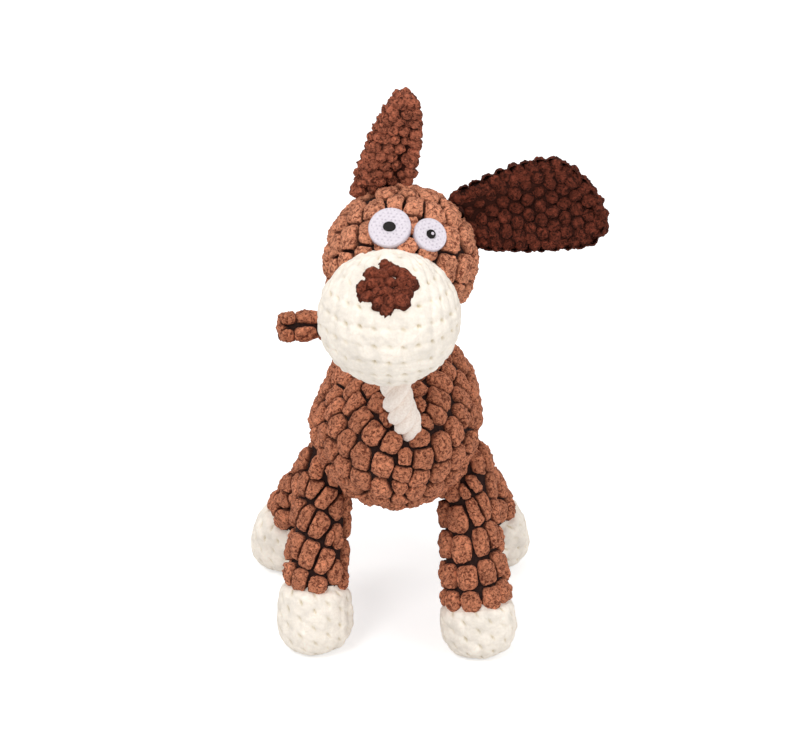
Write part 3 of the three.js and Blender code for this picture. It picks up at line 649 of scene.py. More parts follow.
# %% Body
PILE = 3.8  # height of the brown pillows
BROWN_WIDE, BROWN_LONG = 9.3, 11.6  # from column to column and from row to row
BROWN_SWELL = 1.0  # how much larger a pillow would be with nothing beside it
APART = 0.76  # the least distance between two pillows, in widths
CHEST_SEAM = 5.0  # from the body's middle plane to the dog's left
CHEST = [  # degrees round and above level, width, length, degrees of turn
    (-16, 43, 8.7, 8.6, 1), (-16, 24, 10.6, 11.0, -7), (-29, 30, 9.7, 11.8, 4), (-39, 37, 8.8, 12.4, 10),
    (-49, 43, 9.0, 10.6, 3), (-48, 18, 9.6, 11.8, -8), (-37, 11, 9.4, 12.4, -6), (-25, 6, 9.8, 12.2, -10),
    (-56, 25, 9.6, 10.4, -4), (-50, -1, 9.4, 11.8, 6), (-40, -8, 9.6, 12.4, -1), (-26, -13, 9.8, 12.4, 8),
    (-9, 3, 9.2, 11.8, -1), (-10, -19, 9.1, 12.4, 8), (-3, 19, 9.0, 10.4, -2), (-7, 33, 4.6, 6.4, -35),
    (7, 9, 6.0, 7.8, -8), (5, -3, 7.8, 8.2, 6), (3, -15, 6.3, 8.0, 8), (4, -30, 8.6, 10.0, -4),
    (19, 21, 8.4, 10.4, 20), (20, 6, 9.4, 11.2, 13), (17, -8, 9.0, 10.4, 16), (15, -24, 9.4, 11.8, 4),
    (35, 9, 9.8, 12.8, 3), (34, -9, 9.6, 11.6, 8), (32, -27, 9.4, 11.8, 0), (48, 14, 9.8, 12.4, -8),
    (49, -6, 9.6, 12.0, -5), (34, 32, 7.8, 11.9, -44), (42, 39, 8.8, 12.4, -36), (53, 47, 9.0, 12.4, -28),
    (25, 50, 7.2, 7.8, -23), (23, 40, 4.4, 6.6, -1), (25, 29, 6.0, 8.4, -7), (66, 27, 9.6, 12.4, -21),
    (59, 20, 9.4, 12.4, -16), (70, 49, 9.4, 11.4, -14), (76, 34, 9.4, 11.6, -14), (-60, 4, 9.4, 11.8, 6),
    (71, 11, 9.4, 11.6, -1), (64, -5, 9.4, 11.6, -5), (-68, -22, 9.2, 12.4, 0), (-67, 30, 9.0, 11.6, 6),
    (-61, -30, 8.4, 12.0, 0), (-47, -40, 8.6, 11.0, 0), (48, -22, 9.2, 12.2, 4), (62, -16, 9.2, 12.2, 0),
    (-69, 14, 9.2, 12.2, 0), (-87, 20, 9.0, 12.2, 6),
]
BARE = 8.6  # a spot farther than this from every pillow's middle gets one
body_pillow, brown_pillow = pillow_form(19, 3.0, 3.0), pillow_form(22, 3.0, 3.0)

BODY_FROM_ROPE = (-5.8, 46, -12.431)  # from the rope's seat in the chest to the body's middle
rope_seat = pivots["neck_bend"]
body = Ball(rope_seat + BODY_FROM_ROPE, box_half("body_cover") + 0.9)
NARROWED = 4.6  # how much slimmer the body is at its upper back on the dog's right
NARROW_UP, NARROW_BACK = 0.89, 0.45  # the direction in which it gets slimmer
NARROW_START, NARROW_RUN = 5, 22  # mm below the middle where that starts, and mm until it is complete
FILL_WIDE, FILL_LONG = 7.6, 9.4  # the pillow that goes in a bare spot
BACKING_DEPTH = PILE - 0.5


def smooth_step(share):
    share = np.clip(share, 0, 1)
    return share * share * (3 - 2 * share)


def narrowed(points):
    """Takes the body in on the dog's right, more and more towards the upper back."""
    points = points.copy()
    height = (points[:, 2] - body.middle[2]) * NARROW_UP + (points[:, 1] - body.middle[1]) * NARROW_BACK
    right = smooth_step((body.middle[0] - points[:, 0]) / body.half[0])
    points[:, 0] += NARROWED * smooth_step((height + NARROW_START) / NARROW_RUN) * right
    return points


body_pillows = Pillows()
lay_on_ball(body_pillows, body, CHEST, PILE, BROWN_SWELL)
body_quarter = Column(body, math.pi / 2, -1).quarter()
for side in (1, -1):
    for way in (1, -1):
        shift = -side * CHEST_SEAM if way == -side else 0
        plant_ball(
            body_pillows, body, side * math.pi / 2, way,
            lambda latitude, shift=shift: body_quarter * math.cos(latitude) + shift,
            BROWN_WIDE, BROWN_LONG, PILE, BROWN_SWELL, apart=APART, seed=11 + side + 2 * way,
        )
fill_ball(body_pillows, body, FILL_WIDE, FILL_LONG, PILE, BARE)
points, faces, rise, tone = body_pillows.planted(body_pillow, seed=21)
base_points, base_faces = ball_backing(body, BACKING_DEPTH)
points, base_points = narrowed(points), narrowed(base_points)
body_plush = plush_piece(
    "body_plush", (base_points, base_faces), (points, faces, rise, tone), brown_backing, brown_pile
)
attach(body_plush, "torso")
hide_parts("body_cover")

# %% [markdown]
# ## Head
#
# The head is a ball of the same cloth, in a lighter copy of its plush that paints the light from above.
# Its pillows stop where the muzzle covers it.

# %% Head
head = Ball(box_middle("head_cover"), box_half("head_cover") - 0.9)
muzzle_half = box_half("muzzle_cover")
MUZZLE_HALF_LENGTH = 26.0
muzzle_half[1] = MUZZLE_HALF_LENGTH
muzzle_middle = box_middle("muzzle_cover")
muzzle_middle[1] = millimetres(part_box("muzzle_cover")[0])[1] + MUZZLE_HALF_LENGTH
muzzle = Ball(muzzle_middle, muzzle_half)

EYES = {  # degrees to the dog's left and above level, radius and half sizes of the pupil in mm
    "right": dict(turn=-12.5, slope=49.5, radius=8.0, pupil=(2.45, 2.0)),
    "left": dict(turn=30.5, slope=41.5, radius=6.5, pupil=(1.8, 1.8)),
}
FACE = [  # degrees round and above level, width, length, degrees of turn
    (-128, 77, 9.4, 11.5, -129), (-51, 64, 10.4, 12.4, -32), (-15, 75, 8.6, 12.5, 8), (31, 70, 9.2, 13.5, 34),
    (59, 58, 9.4, 12.5, 47), (79, 45, 9.4, 9.0, -14), (-75, 52, 9.4, 12.4, -67), (-56, 34, 9.4, 12.4, -35),
    (-37, 43, 9.3, 11.5, -22), (-72, 22, 9.6, 10.9, -29), (-49, 15, 8.4, 10.8, -17), (-60, 4, 9.4, 12.0, -26),
    (-34, 26, 8.7, 8.4, 1), (-16, 35, 8.6, 8.0, -9), (7, 37, 8.8, 8.6, 4), (24, 28.5, 8.8, 6.0, 1),
    (16, 52, 4.3, 12.0, 13), (54, 33, 9.6, 11.7, 38), (41, 13, 9.4, 12.6, 24), (61, 5, 9.4, 13.0, 36),
    (51, -13, 7.2, 9.4, -3),
]


def direction_of(turn, slope):
    return np.array([math.cos(slope) * math.sin(turn), -math.cos(slope) * math.cos(turn), math.sin(slope)])


def eye_direction(eye):
    return direction_of(math.radians(eye["turn"]), math.radians(eye["slope"]))


def under_eye(point, eye):
    seat = head.middle + head.half * eye_direction(eye)
    return np.linalg.norm(point - seat) <= eye["radius"] + 3


def clear_of_face(point):
    """Not under the muzzle and not under an eye."""
    return not muzzle.inside(point, -3.0) and not any(under_eye(point, eye) for eye in EYES.values())


head_pillows = Pillows()
lay_on_ball(head_pillows, head, FACE, PILE, BROWN_SWELL)
head_quarter = Column(head, math.pi / 2, -1).quarter()
for side in (1, -1):
    for way in (-side, side):
        plant_ball(
            head_pillows, head, side * math.pi / 2, way,
            lambda latitude: head_quarter * math.cos(latitude),
            BROWN_WIDE, BROWN_LONG, PILE, BROWN_SWELL,
            keep=clear_of_face, apart=APART, seed=31 + side + 2 * way,
        )
fill_ball(head_pillows, head, FILL_WIDE, FILL_LONG, PILE, BARE, keep=clear_of_face)
planted = head_pillows.planted(brown_pillow, seed=41)
head_plush = plush_piece(
    "head_plush", ball_backing(head, BACKING_DEPTH), planted, brown_backing, head_painted_light_pile
)
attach(head_plush, "head")
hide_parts("head_cover")

# %% [markdown]
# ## Muzzle
#
# The cream cloth is quilted: one surface with low cushions and soft valleys, and a small slanting dent where
# each stitch pulls it in, darkened with painted shade.

# %% Muzzle
CREAM_WIDE, CREAM_LONG = 5.6, 7.4  # from one stitched place to the next
CUSHION = 0.22  # the depth of the valleys as a share of the depth of the marks
STITCH_LONG, STITCH_WIDE = 1.25, 0.6  # half sizes of the mark that a stitch leaves
STITCH_ALONG, STITCH_ASIDE = 0.77, 0.64  # the slant of the marks
STITCH_DEPTH = 0.45  # the depth of a mark as a share of the quilt's depth


def quilt(across, along, wide, long, depth, seed):
    """How far a quilt's surface lies under its cushions' tops, and 1 less its share of a stitch's mark, for
    painted shade.
    """
    cells = np.stack([across / wide, along / long, 0 * along], -1)
    lengths = ((across, wide), (along, long))
    drift = 0.05 * waves(cells, 2.2, seed=seed)
    u, v = (abs(2 * ((length / pitch + drift) % 1) - 1) for length, pitch in lengths)
    stray = 0.35 * waves(cells, 2.0, seed=seed + 1)
    x, y = (((length / pitch + drift + 0.5) % 1 - 0.5) * pitch for length, pitch in lengths)
    aside = STITCH_ASIDE + stray
    x, y = STITCH_ALONG * x - aside * y, STITCH_ALONG * y + aside * x
    mark = np.exp(-((x / STITCH_LONG) ** 2 + (y / STITCH_WIDE) ** 2)) * np.clip(0.8 + 1.2 * stray, 0.3, 1)
    return depth * (CUSHION * (u**3 + v**3) + STITCH_DEPTH * mark), 1 - mark


def quilted_ball(ball, wide, long, depth, rings=170, count=240, seed=1):
    """A closed egg form in quilted cloth, whose columns run up and down from its front."""
    latitudes = np.linspace(-np.pi / 2, np.pi / 2, rings + 2)[1:-1]
    azimuths = np.linspace(-np.pi, np.pi, count, endpoint=False)
    latitude, azimuth = (grid.ravel() for grid in np.meshgrid(latitudes, azimuths, indexing="ij"))
    level = np.cos(latitude)
    points = ball.middle + ball.half * np.stack(
        [level * np.sin(azimuth), -level * np.cos(azimuth), np.sin(latitude)], -1
    )
    mean = ball.half.mean()
    sunk, rise = quilt(mean * azimuth * level, mean * latitude, wide, long, depth, seed)
    ends = [ball.middle - (0, 0, ball.half[2]), ball.middle + (0, 0, ball.half[2])]
    points, sunk, rise = np.vstack([points, ends]), np.append(sunk, [0, 0]), np.append(rise, [1, 1])
    fuzz = 0.2 * waves(points, 6, seed=seed) + 0.07 * waves(points, 2.2, seed=seed + 1)
    points += (fuzz - sunk)[:, None] * unit((points - ball.middle) / ball.half**2)
    return points, grid_faces(rings, count), rise


points, faces, rise = quilted_ball(muzzle, CREAM_WIDE, CREAM_LONG, 2.1, seed=61)
muzzle_plush = mesh_piece("muzzle_plush", [(points, faces, 0, rise, 0.0)], [cream_pile])
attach(muzzle_plush, "head")
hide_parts("muzzle_cover")

# %% [markdown]
# ## Columns of pillows along a limb
#
# A leg and the tail are tubes of changing thickness round a bent middle line. Their columns run along them.
# Rows step down a little from one column to the next, as they do on the cloth.

# %% A limb
class Limb:
    """A round form along a line through points in mm. Its radius is a function of the length along it."""

    def __init__(self, line, across, radius):
        self.line = np.asarray(line, float)
        steps = np.linalg.norm(np.diff(self.line, axis=0), axis=1)
        self.lengths = np.concatenate([[0], np.cumsum(steps)])
        self.length = float(self.lengths[-1])
        self.tangents = unit(np.gradient(self.line, self.lengths, axis=0))
        self.across, self.radius = np.asarray(across, float), radius

    def station(self, along):
        share = min(max(along, 0.0), self.length)
        middle = np.array([np.interp(share, self.lengths, self.line[:, k]) for k in range(3)])
        tangent = unit(np.array([np.interp(share, self.lengths, self.tangents[:, k]) for k in range(3)]))
        wide = unit(self.across - np.dot(self.across, tangent) * tangent)
        return middle + (along - share) * tangent, wide, np.cross(tangent, wide)

    def at(self, along, angle, depth=0.0):
        middle, wide, thick = self.station(along)
        radius = max(self.radius(along) - depth, 0.05)
        return middle + radius * (math.cos(angle) * wide + math.sin(angle) * thick)

    def frame(self, along, angle):
        """The point, the way out and the way along the surface."""
        small = 0.05
        point = self.at(along, angle)
        down = self.at(along + small, angle) - self.at(along - small, angle)
        round_it = self.at(along, angle + small / 10) - self.at(along, angle - small / 10)
        up = unit(np.cross(round_it, down))
        middle = self.station(along)[0]
        if np.dot(up, point - middle) < 0:
            up = -up
        return point, up, unit(down)


def bezier(first, second, third, fourth, count=60):
    t = np.linspace(0, 1, count)[:, None]
    return (1 - t) ** 3 * first + 3 * (1 - t) ** 2 * t * second + 3 * (1 - t) * t**2 * third + t**3 * fourth


def foot_half(wide, high, curl):
    """Half the width of a pillow's foot on a limb that curves so strongly."""
    return wide / 2 / (1 + 0.55 * high * curl)


def plant_limb(
    pillows, limb, start, end, columns, long, high, gap, twist=0.0, widest=9.4, keep=lambda point: True
):
    """Plants columns along a limb from its end back to its start.

    A column is the degrees round the limb at its end, and the share of its last pillow that the seam hides.
    Twist is how many degrees the columns turn round the limb in one row, on the way back from the end.
    """
    angles = sorted(angle for angle, _ in columns)
    for angle, hidden in columns:
        i = angles.index(angle)
        lap = 360 if i in (0, len(angles) - 1) else 0
        spread = math.radians(angles[(i + 1) % len(angles)] - angles[i - 1] + lap) / 2
        foot, last = end, (1 - hidden) * long
        while foot > start + 0.5 * long:
            along = foot - last / 2
            turn = math.radians(angle + twist * (end - along) / long)
            point, up, down = limb.frame(along, turn)
            radius = max(limb.radius(along), high + 0.5)
            if keep(point) and not (np.linalg.norm(pillows.tops() - point, axis=1) < 0.72 * BROWN_WIDE).any():
                curl = 1 / max(radius - high, 2.0)
                wide = min(spread * radius, widest) - gap
                half = foot_half(wide, high, curl)
                pillows.add(point - high * up, up, down, half, last / 2 * 1.03, high, curl, 0.0)
            foot, last = foot - last, long


def lay_on_limb(pillows, limb, end, table, high, widest=11.0):
    """Lays a table's pillows: degrees round the limb, mm from its end, width, length, degrees of turn."""
    for turn, back, wide, long, lean in table:
        point, up, down = limb.frame(end - back, math.radians(turn))
        ahead = limb.frame(end - back, math.radians(turn + 2))[0] - point
        lean = math.radians(lean)
        curl = 1 / max(limb.radius(end - back) - high, 2.0)
        pillows.add(
            point - high * up, up, math.sin(lean) * unit(ahead) - math.cos(lean) * down,
            foot_half(min(wide, widest), high, curl), long / 2, high, curl, 0.0,
        )


def limb_backing(limb, start, end, depth, step=1.6, count=32):
    """The backing of a limb, that deep under its pile, closed at both ends."""
    rings = max(3, round((end - start) / step))
    stations = np.linspace(start, end, rings)
    angles = np.linspace(0, 2 * np.pi, count, endpoint=False)
    points = [limb.at(along, angle, depth) for along in stations for angle in angles]
    points += [limb.station(start)[0], limb.station(end)[0]]
    return np.array(points), grid_faces(rings, count)


# %% [markdown]
# ## Legs and paws
#
# Each leg is a brown tube that leaves the body at its hip and ends in a cream paw, with a seam at the ankle.
# The hip end runs into the body, because on the real toy the leg is sewn in there.

# %% Legs and paws
HIP_RADIUS = 11.6
ANKLE_RADIUS = {"front_left": 15.2, "front_right": 14.0, "rear_left": 13.8, "rear_right": 13.8}
PAW_RADIUS, PAW_BELLY = 15.6, 15.0
CUFF = 0.2  # how far the paw's seam stands out from the leg
PAW_HEIGHT = {"front_left": 21.8, "front_right": 28.0, "rear_left": 27.0, "rear_right": 27.0}
PAW_BACK = 3.5  # how far the paws' middles lie behind the middles of their soles
PAW_ASIDE = {"front_left": 1.4}
LEG_BEND = 24.0
LEG_SPREAD = {"front": 4, "rear": 35}
LEG_LONG = 12.2
COLUMN_GAP = 1.0  # the dark lines between the columns of a leg
HIP_SINK = 9.0  # how far the leg's root runs into the body
PAW_WIDE, PAW_LONG = 6.0, 6.4
PAW_DEPTH = 0.87  # how deep a paw is for its width
PAW_RINGS, PAW_COUNT = 100, 160
LIP_DEEP, LIP_LONG = 3.2, 2.8  # how the paw's edge is drawn in at its seam
LEG_TWIST = {"front_left": 5.0, "front_right": -13.5, "rear_left": 8.0, "rear_right": -6.0}
LEG_COLUMNS = {  # degrees round from the back towards the left, and the hidden share of the last pillow
    "front_left": [
        (157, 0.1), (196, 0.24), (237, 0.28), (277, 0.4), (317, 0.15), (357, 0.3), (37, 0.1), (77, 0.35),
        (117, 0.24),
    ],
    "front_right": [
        (213, 0.28), (241, 0.05), (280, 0.3), (318, 0.1), (356, 0.45), (34, 0.2), (72, 0.1), (110, 0.3),
        (149, 0.5), (176, 0.28),
    ],
    "rear_left": [
        (15, 0.3), (55, 0.1), (95, 0.45), (135, 0.2), (175, 0.0), (215, 0.35), (255, 0.15), (295, 0.4),
        (335, 0.25),
    ],
    "rear_right": [
        (5, 0.1), (45, 0.35), (85, 0.2), (125, 0.45), (165, 0.25), (205, 0.0), (245, 0.3), (285, 0.15),
        (325, 0.4),
    ],
}
LEG_PILLOWS = {  # degrees round, mm above the seam, width, length, degrees of turn
    "front_left": [
        (206, 38.2, 10.2, 11.9, -2), (201, 25.2, 9.6, 11.7, 0), (193, 13.7, 9.2, 11.3, 2),
        (189, 4.1, 8.8, 8.6, -1), (166, 41.3, 6.4, 13.2, 8), (158, 27.7, 7.2, 12.7, 4),
        (151, 15.2, 8.2, 11.4, 5), (147, 4.9, 8.7, 10.0, 4), (143, 43.0, 6.7, 12.7, 8),
        (127, 29.5, 7.9, 11.9, 11), (119, 17.5, 8.8, 11.7, 7), (112, 6.0, 9.0, 10.4, 1),
        (245, 26.8, 9.6, 11.6, -1), (232, 13.9, 8.0, 10.9, -1), (228, 4.2, 8.4, 8.9, 4),
        (162, 54.5, 5.4, 9.9, 18), (184, 51.0, 4.4, 7.0, 20),
    ],
    "front_right": [
        (202, 45.3, 8.0, 12.2, -8), (216, 30.5, 8.4, 11.8, -8), (234, 17.6, 9.6, 11.4, -2),
        (252, 6.4, 9.4, 11.4, 8), (230, 46.4, 6.6, 13.6, -7), (240, 32.3, 7.0, 11.2, -7),
        (173, 41.6, 8.8, 11.7, -10), (184, 28.3, 9.2, 12.9, -12), (199, 15.7, 8.8, 12.8, -6),
        (213, 4.8, 8.8, 9.2, 0), (145, 36.0, 6.8, 11.8, 2), (158, 23.4, 2.8, 7.6, -5),
        (165, 13.3, 8.2, 12.1, -12), (177, 3.5, 9.2, 7.0, 2), (138, 23.4, 5.0, 10.9, 2),
        (138, 8.6, 7.9, 11.0, 10),
    ],
    "rear_left": [
        (113, 36.3, 9.6, 11.5, -25), (104, 25.0, 9.0, 8.9, -27), (140, 23.0, 8.8, 11.7, -8),
        (99, 15.4, 9.0, 9.4, -19), (139, 10.6, 9.8, 13.0, 2), (109, 5.2, 9.4, 9.0, -5),
    ],
    "rear_right": [
        (245, 33.8, 9.6, 12.3, 11), (249, 20.4, 9.0, 11.3, -10), (248, 8.2, 9.6, 11.2, -8),
        (214, 20.1, 7.4, 11.6, -2), (216, 7.7, 9.3, 12.4, 7),
    ],
}
leg_pillow = pillow_form(22, 3.0, 2.8)


def make_leg(name):
    end, flank = name.split("_")
    side = 1 if flank == "left" else -1
    hip, sole = pivots[f"leg_{name}_swing"], soles[name]
    spread = math.radians(LEG_SPREAD[end])
    knee = hip + LEG_BEND * np.array([side * math.sin(spread), 0, -math.cos(spread)])
    foot = sole + (PAW_ASIDE.get(name, 0), PAW_BACK, 0)
    line = bezier(hip, knee, foot + (-2.8 if end == "front" else 0, 0, LEG_BEND), foot)
    length = float(np.linalg.norm(np.diff(line, axis=0), axis=1).sum())
    paw_height = PAW_HEIGHT[name]
    ankle = length - paw_height

    def radius(along):
        if along < ankle:
            share = min(max(along / ankle, 0.0), 1.0)
            dome = math.sqrt(max(1 - (min(along, 0.0) / HIP_RADIUS) ** 2, 0.02))
            return (HIP_RADIUS + (ANKLE_RADIUS[name] - HIP_RADIUS) * share) * dome
        height = length - along
        if height > PAW_BELLY:
            share = (height - PAW_BELLY) / (paw_height - PAW_BELLY)
            return PAW_RADIUS - (PAW_RADIUS - ANKLE_RADIUS[name] - CUFF) * share**2
        share = min((PAW_BELLY - height) / PAW_BELLY, 1.0)
        return PAW_RADIUS * max(1 - share**3, 0) ** 0.4

    limb = Limb(line, (0, 1, 0), radius)
    brown = Pillows()
    lay_on_limb(brown, limb, ankle + 0.6, LEG_PILLOWS[name], PILE)
    for shift in (0, 20):
        turned = [((turn + shift) % 360, hidden) for turn, hidden in LEG_COLUMNS[name]]
        plant_limb(
            brown, limb, -HIP_SINK, ankle + 0.6, turned, LEG_LONG, PILE, COLUMN_GAP,
            twist=LEG_TWIST[name], keep=lambda point: not body.inside(point, -6.0),
        )
    planted = brown.planted(leg_pillow, jitter=0.03, twist=3, seed=len(name) * 3 + side)
    base = limb_backing(limb, -HIP_SINK, ankle + 1.0, BACKING_DEPTH)
    leg_piece = plush_piece(f"leg_plush_{name}", base, planted, brown_backing, brown_pile)
    rings, count = PAW_RINGS, PAW_COUNT
    profile_along = np.linspace(ankle - 2.0, length - 0.01, 400)
    profile_radius = np.array([radius(along) for along in profile_along])
    arcs = np.concatenate([[0], np.cumsum(np.hypot(np.diff(profile_along), np.diff(profile_radius)))])
    arc = np.linspace(0, arcs[-1], rings)
    stations = np.interp(arc, arcs, profile_along)
    angles = np.linspace(0, 2 * np.pi, count, endpoint=False)
    columns = round(2 * math.pi * PAW_RADIUS / PAW_WIDE)
    sunk, rise = quilt(
        np.tile(angles / 2 / math.pi * columns * PAW_WIDE, rings),
        np.repeat(arc + PAW_LONG / 2, count) + np.tile(angles / math.pi * columns / 4 * PAW_LONG, rings),
        PAW_WIDE, PAW_LONG, 1.7, seed=81 + side,
    )
    points = []
    for along in stations:
        middle, wide, thick = limb.station(along)
        deep = 1 - (1 - PAW_DEPTH) * smooth_step((along - ankle) / 10)
        section = deep * np.cos(angles)[:, None] * wide + np.sin(angles)[:, None] * thick
        points.append(middle + max(radius(along), 0.05) * section)
    points = np.vstack(points)
    middles = np.repeat([limb.station(along)[0] for along in stations], count, axis=0)
    out = points - middles
    size = np.linalg.norm(out, axis=1)
    lip = LIP_DEEP * np.repeat(np.exp(-((arc / LIP_LONG) ** 2)), count)
    fuzz = 0.3 * waves(points, 7, seed=82 + side) + 0.07 * waves(points, 2.2, seed=83 + side)
    points += ((fuzz - sunk - lip) * np.minimum(size / 8, 1) / np.maximum(size, 0.01))[:, None] * out
    points = np.vstack([points, [limb.station(stations[0])[0], limb.station(length)[0]]])
    points[:, 2] = np.maximum(points[:, 2], 0.1)
    rise = np.append(rise, [1, 1])
    faces = grid_faces(rings, count)
    paw_piece = mesh_piece(f"paw_plush_{name}", [(points, faces, 0, rise, 0.0)], [cream_pile])
    return limb, leg_piece, paw_piece


for name in ("front_left", "front_right", "rear_left", "rear_right"):
    limb, leg_piece, paw_piece = make_leg(name)
    tuple(limb.station(-4)[0] * MM)
    tuple(limb.station(12)[0] * MM)
    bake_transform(leg_piece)
    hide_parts(f"leg_cover_{name}")
    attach(paw_piece, f"leg_{name}")
    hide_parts(f"paw_cover_{name}")

# %% [markdown]
# ## Tail
#
# The tail is a thin tube of four columns, so from the side two rows of pillows show with a dark valley
# between them. One more pillow closes its tip.

# %% Tail
TAIL_RADIUS, TAIL_ROOT = 6.9, 6.0
tail_root = pivots["tail_wag"]
TAIL_COLUMNS = [(66, 0.4), (156, 0.2), (244, 0.45), (350, 0.3)]
TAIL_LINE = [(0, -3, 0), (0, 16, 0), (-22, 8, 4), (-44, 4, 4)]  # from the tail's seam, as the CAD has it


def tail_radius(along):
    if along < 0:
        return TAIL_ROOT * math.sqrt(max(1 - (along / TAIL_ROOT) ** 2, 0.02))
    if along < tail_length:
        return TAIL_ROOT + (TAIL_RADIUS - TAIL_ROOT) * min(along / tail_length / 0.66, 1.0)
    share = min((along - tail_length) / TAIL_RADIUS, 0.999)
    return TAIL_RADIUS * (1 - share**2.2) ** 0.5


tail_line = bezier(*[tail_root + np.array(step) for step in TAIL_LINE])
tail_length = float(np.linalg.norm(np.diff(tail_line, axis=0), axis=1).sum())
tail = Limb(tail_line, (0, 0, 1), tail_radius)
tail_pillows = Pillows()
plant_limb(
    tail_pillows, tail, -4, tail_length + TAIL_RADIUS * 0.8, TAIL_COLUMNS, 10.8, PILE, 3.4,
    widest=11.4, keep=lambda point: not body.inside(point, -3.0),
)
tail_tip = tail.station(tail_length + TAIL_RADIUS * 0.8)[0]
tail_end = tail.tangents[-1]
tail_pillows.add(tail_tip - PILE * tail_end, tail_end, np.array([0, 0, 1]), 3.8, 4.2, PILE, 0.08, 0.08)
planted = tail_pillows.planted(brown_pillow, seed=92)
base = limb_backing(tail, -4, tail_length + TAIL_RADIUS * 0.6, BACKING_DEPTH, count=24)
tail_plush = plush_piece("tail_plush", base, planted, brown_backing, brown_pile)
tuple(tail.station(0)[0] * MM)
tuple(tail.station(12)[0] * MM)
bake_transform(tail_plush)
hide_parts("tail_cover")

# %% [markdown]
# ## Ears
#
# Both ears are two panels of a dark plush with small round bumps in staggered rows. An ear is an oval
# section that widens and thins along a straight line. Bumps cover its faces, and two or three rows of them
# its rim.

# %% Ears
EAR_STATIONS = [-0.06, 0, 0.14, 0.28, 0.42, 0.55, 0.66, 0.77, 0.87, 0.95, 1.0]
EARS = {  # half outlines off the middle line, forth along the seam and back against it
    "left": dict(
        length=54, width=24, thickness=8.6, heading=(1, 0.02, 0.1), seam=(0, 0.26, 0.97),
        forth=[1.02, 1.04, 1.32, 1.54, 1.67, 1.76, 1.72, 1.4, 0.86, 0.22, -0.38],
        back=[0.9, 0.92, 1.07, 1.18, 1.25, 1.29, 1.31, 1.3, 1.18, 0.84, 0.42],
        thicks=[0.9, 0.9, 0.95, 1, 1, 1, 0.95, 0.88, 0.78, 0.6, 0.3],
    ),
    "right": dict(
        length=43, width=23.2, thickness=14, heading=(0.19, -0.16, 1), seam=(1, 0, 0),
        forth=[1, 1, 1.07, 1.07, 1.06, 1.04, 0.99, 0.9, 0.74, 0.56, 0.36],
        back=[0.88, 0.9, 0.91, 0.82, 0.74, 0.66, 0.57, 0.46, 0.28, 0.06, -0.28],
        thicks=[0.85, 0.9, 1, 1, 1, 0.98, 0.95, 0.9, 0.8, 0.62, 0.3],
    ),
}
BUMP, BUMP_HIGH = 5.3, 3.0
BUMP_SHARE = {"left": 1, "right": 0.85}  # the spacing of an ear's bumps in units of BUMP
BUMP_HALF = 0.53  # half a bump's size as a share of the spacing
RIM_TILTS = {"left": (0.5, -0.5), "right": (0.75, 0.0, -0.75)}  # radians off the rim's edge
RIM_ROOM, FACE_ROOM, FILL_ROOM = 0.6, 0.78, 0.74  # least distance to the next bump, in spacings
ROW_STEP = 0.86  # from row to row, in spacings
FOLDS = {  # how far the panels bend out of their plane, in mm: across, half width of the fold, root, tip
    "left": [(0.75, 0.35, 3.0, 0.8), (0.1, 0.4, -2.2, 0.0), (-0.8, 0.3, 0.6, 0.4)],
    "right": [(0.35, 0.35, 1.8, 0.8), (0.85, 0.3, -1.6, -1.2), (-0.5, 0.4, -0.8, 0.0)],
}
ear_bump = pillow_form(12, 2.1, 2.1)


class Ear:
    """A flat pouch with a full rim round a straight line from the middle of its seam."""

    def __init__(self, side):
        self.facts, self.folds = EARS[side], FOLDS[side]
        self.seat = pivots[f"ear_{side}_flap"]
        self.heading = unit(self.facts["heading"])
        seam = np.array(self.facts["seam"], float)
        self.wide = unit(seam - np.dot(seam, self.heading) * self.heading)
        self.thick = np.cross(self.heading, self.wide)
        self.length = self.facts["length"]

    def halves(self, share):
        forth = np.interp(share, EAR_STATIONS, self.facts["forth"]) * self.facts["width"] / 2
        back = np.interp(share, EAR_STATIONS, self.facts["back"]) * self.facts["width"] / 2
        thickness = np.interp(share, EAR_STATIONS, self.facts["thicks"]) * self.facts["thickness"] / 2
        return float(forth - back) / 2, float(forth + back) / 2, float(thickness)

    def at(self, along, angle, depth=0.0):
        share = along / self.length
        off, width, thickness = self.halves(share)
        width, thickness = max(width - depth, 0.2), max(thickness - depth, 0.2)
        across = math.copysign(abs(math.cos(angle)) ** 0.8, math.cos(angle))
        fold = sum(
            (root + (tip - root) * min(max(share, 0), 1)) * math.exp(-(((across - place) / spread) ** 2))
            for place, spread, root, tip in self.folds
        )
        return (
            self.seat
            + along * self.heading
            + (off + width * across) * self.wide
            + (thickness * math.copysign(abs(math.sin(angle)) ** 0.8, math.sin(angle)) + fold) * self.thick
        )

    def up(self, along, angle):
        off = self.halves(along / self.length)[0]
        small = 0.01
        along_it = self.at(along + 0.5, angle) - self.at(along - 0.5, angle)
        around = self.at(along, angle + small) - self.at(along, angle - small)
        up = unit(np.cross(around, along_it))
        middle = self.seat + along * self.heading + off * self.wide
        return up if np.dot(up, self.at(along, angle) - middle) > 0 else -up


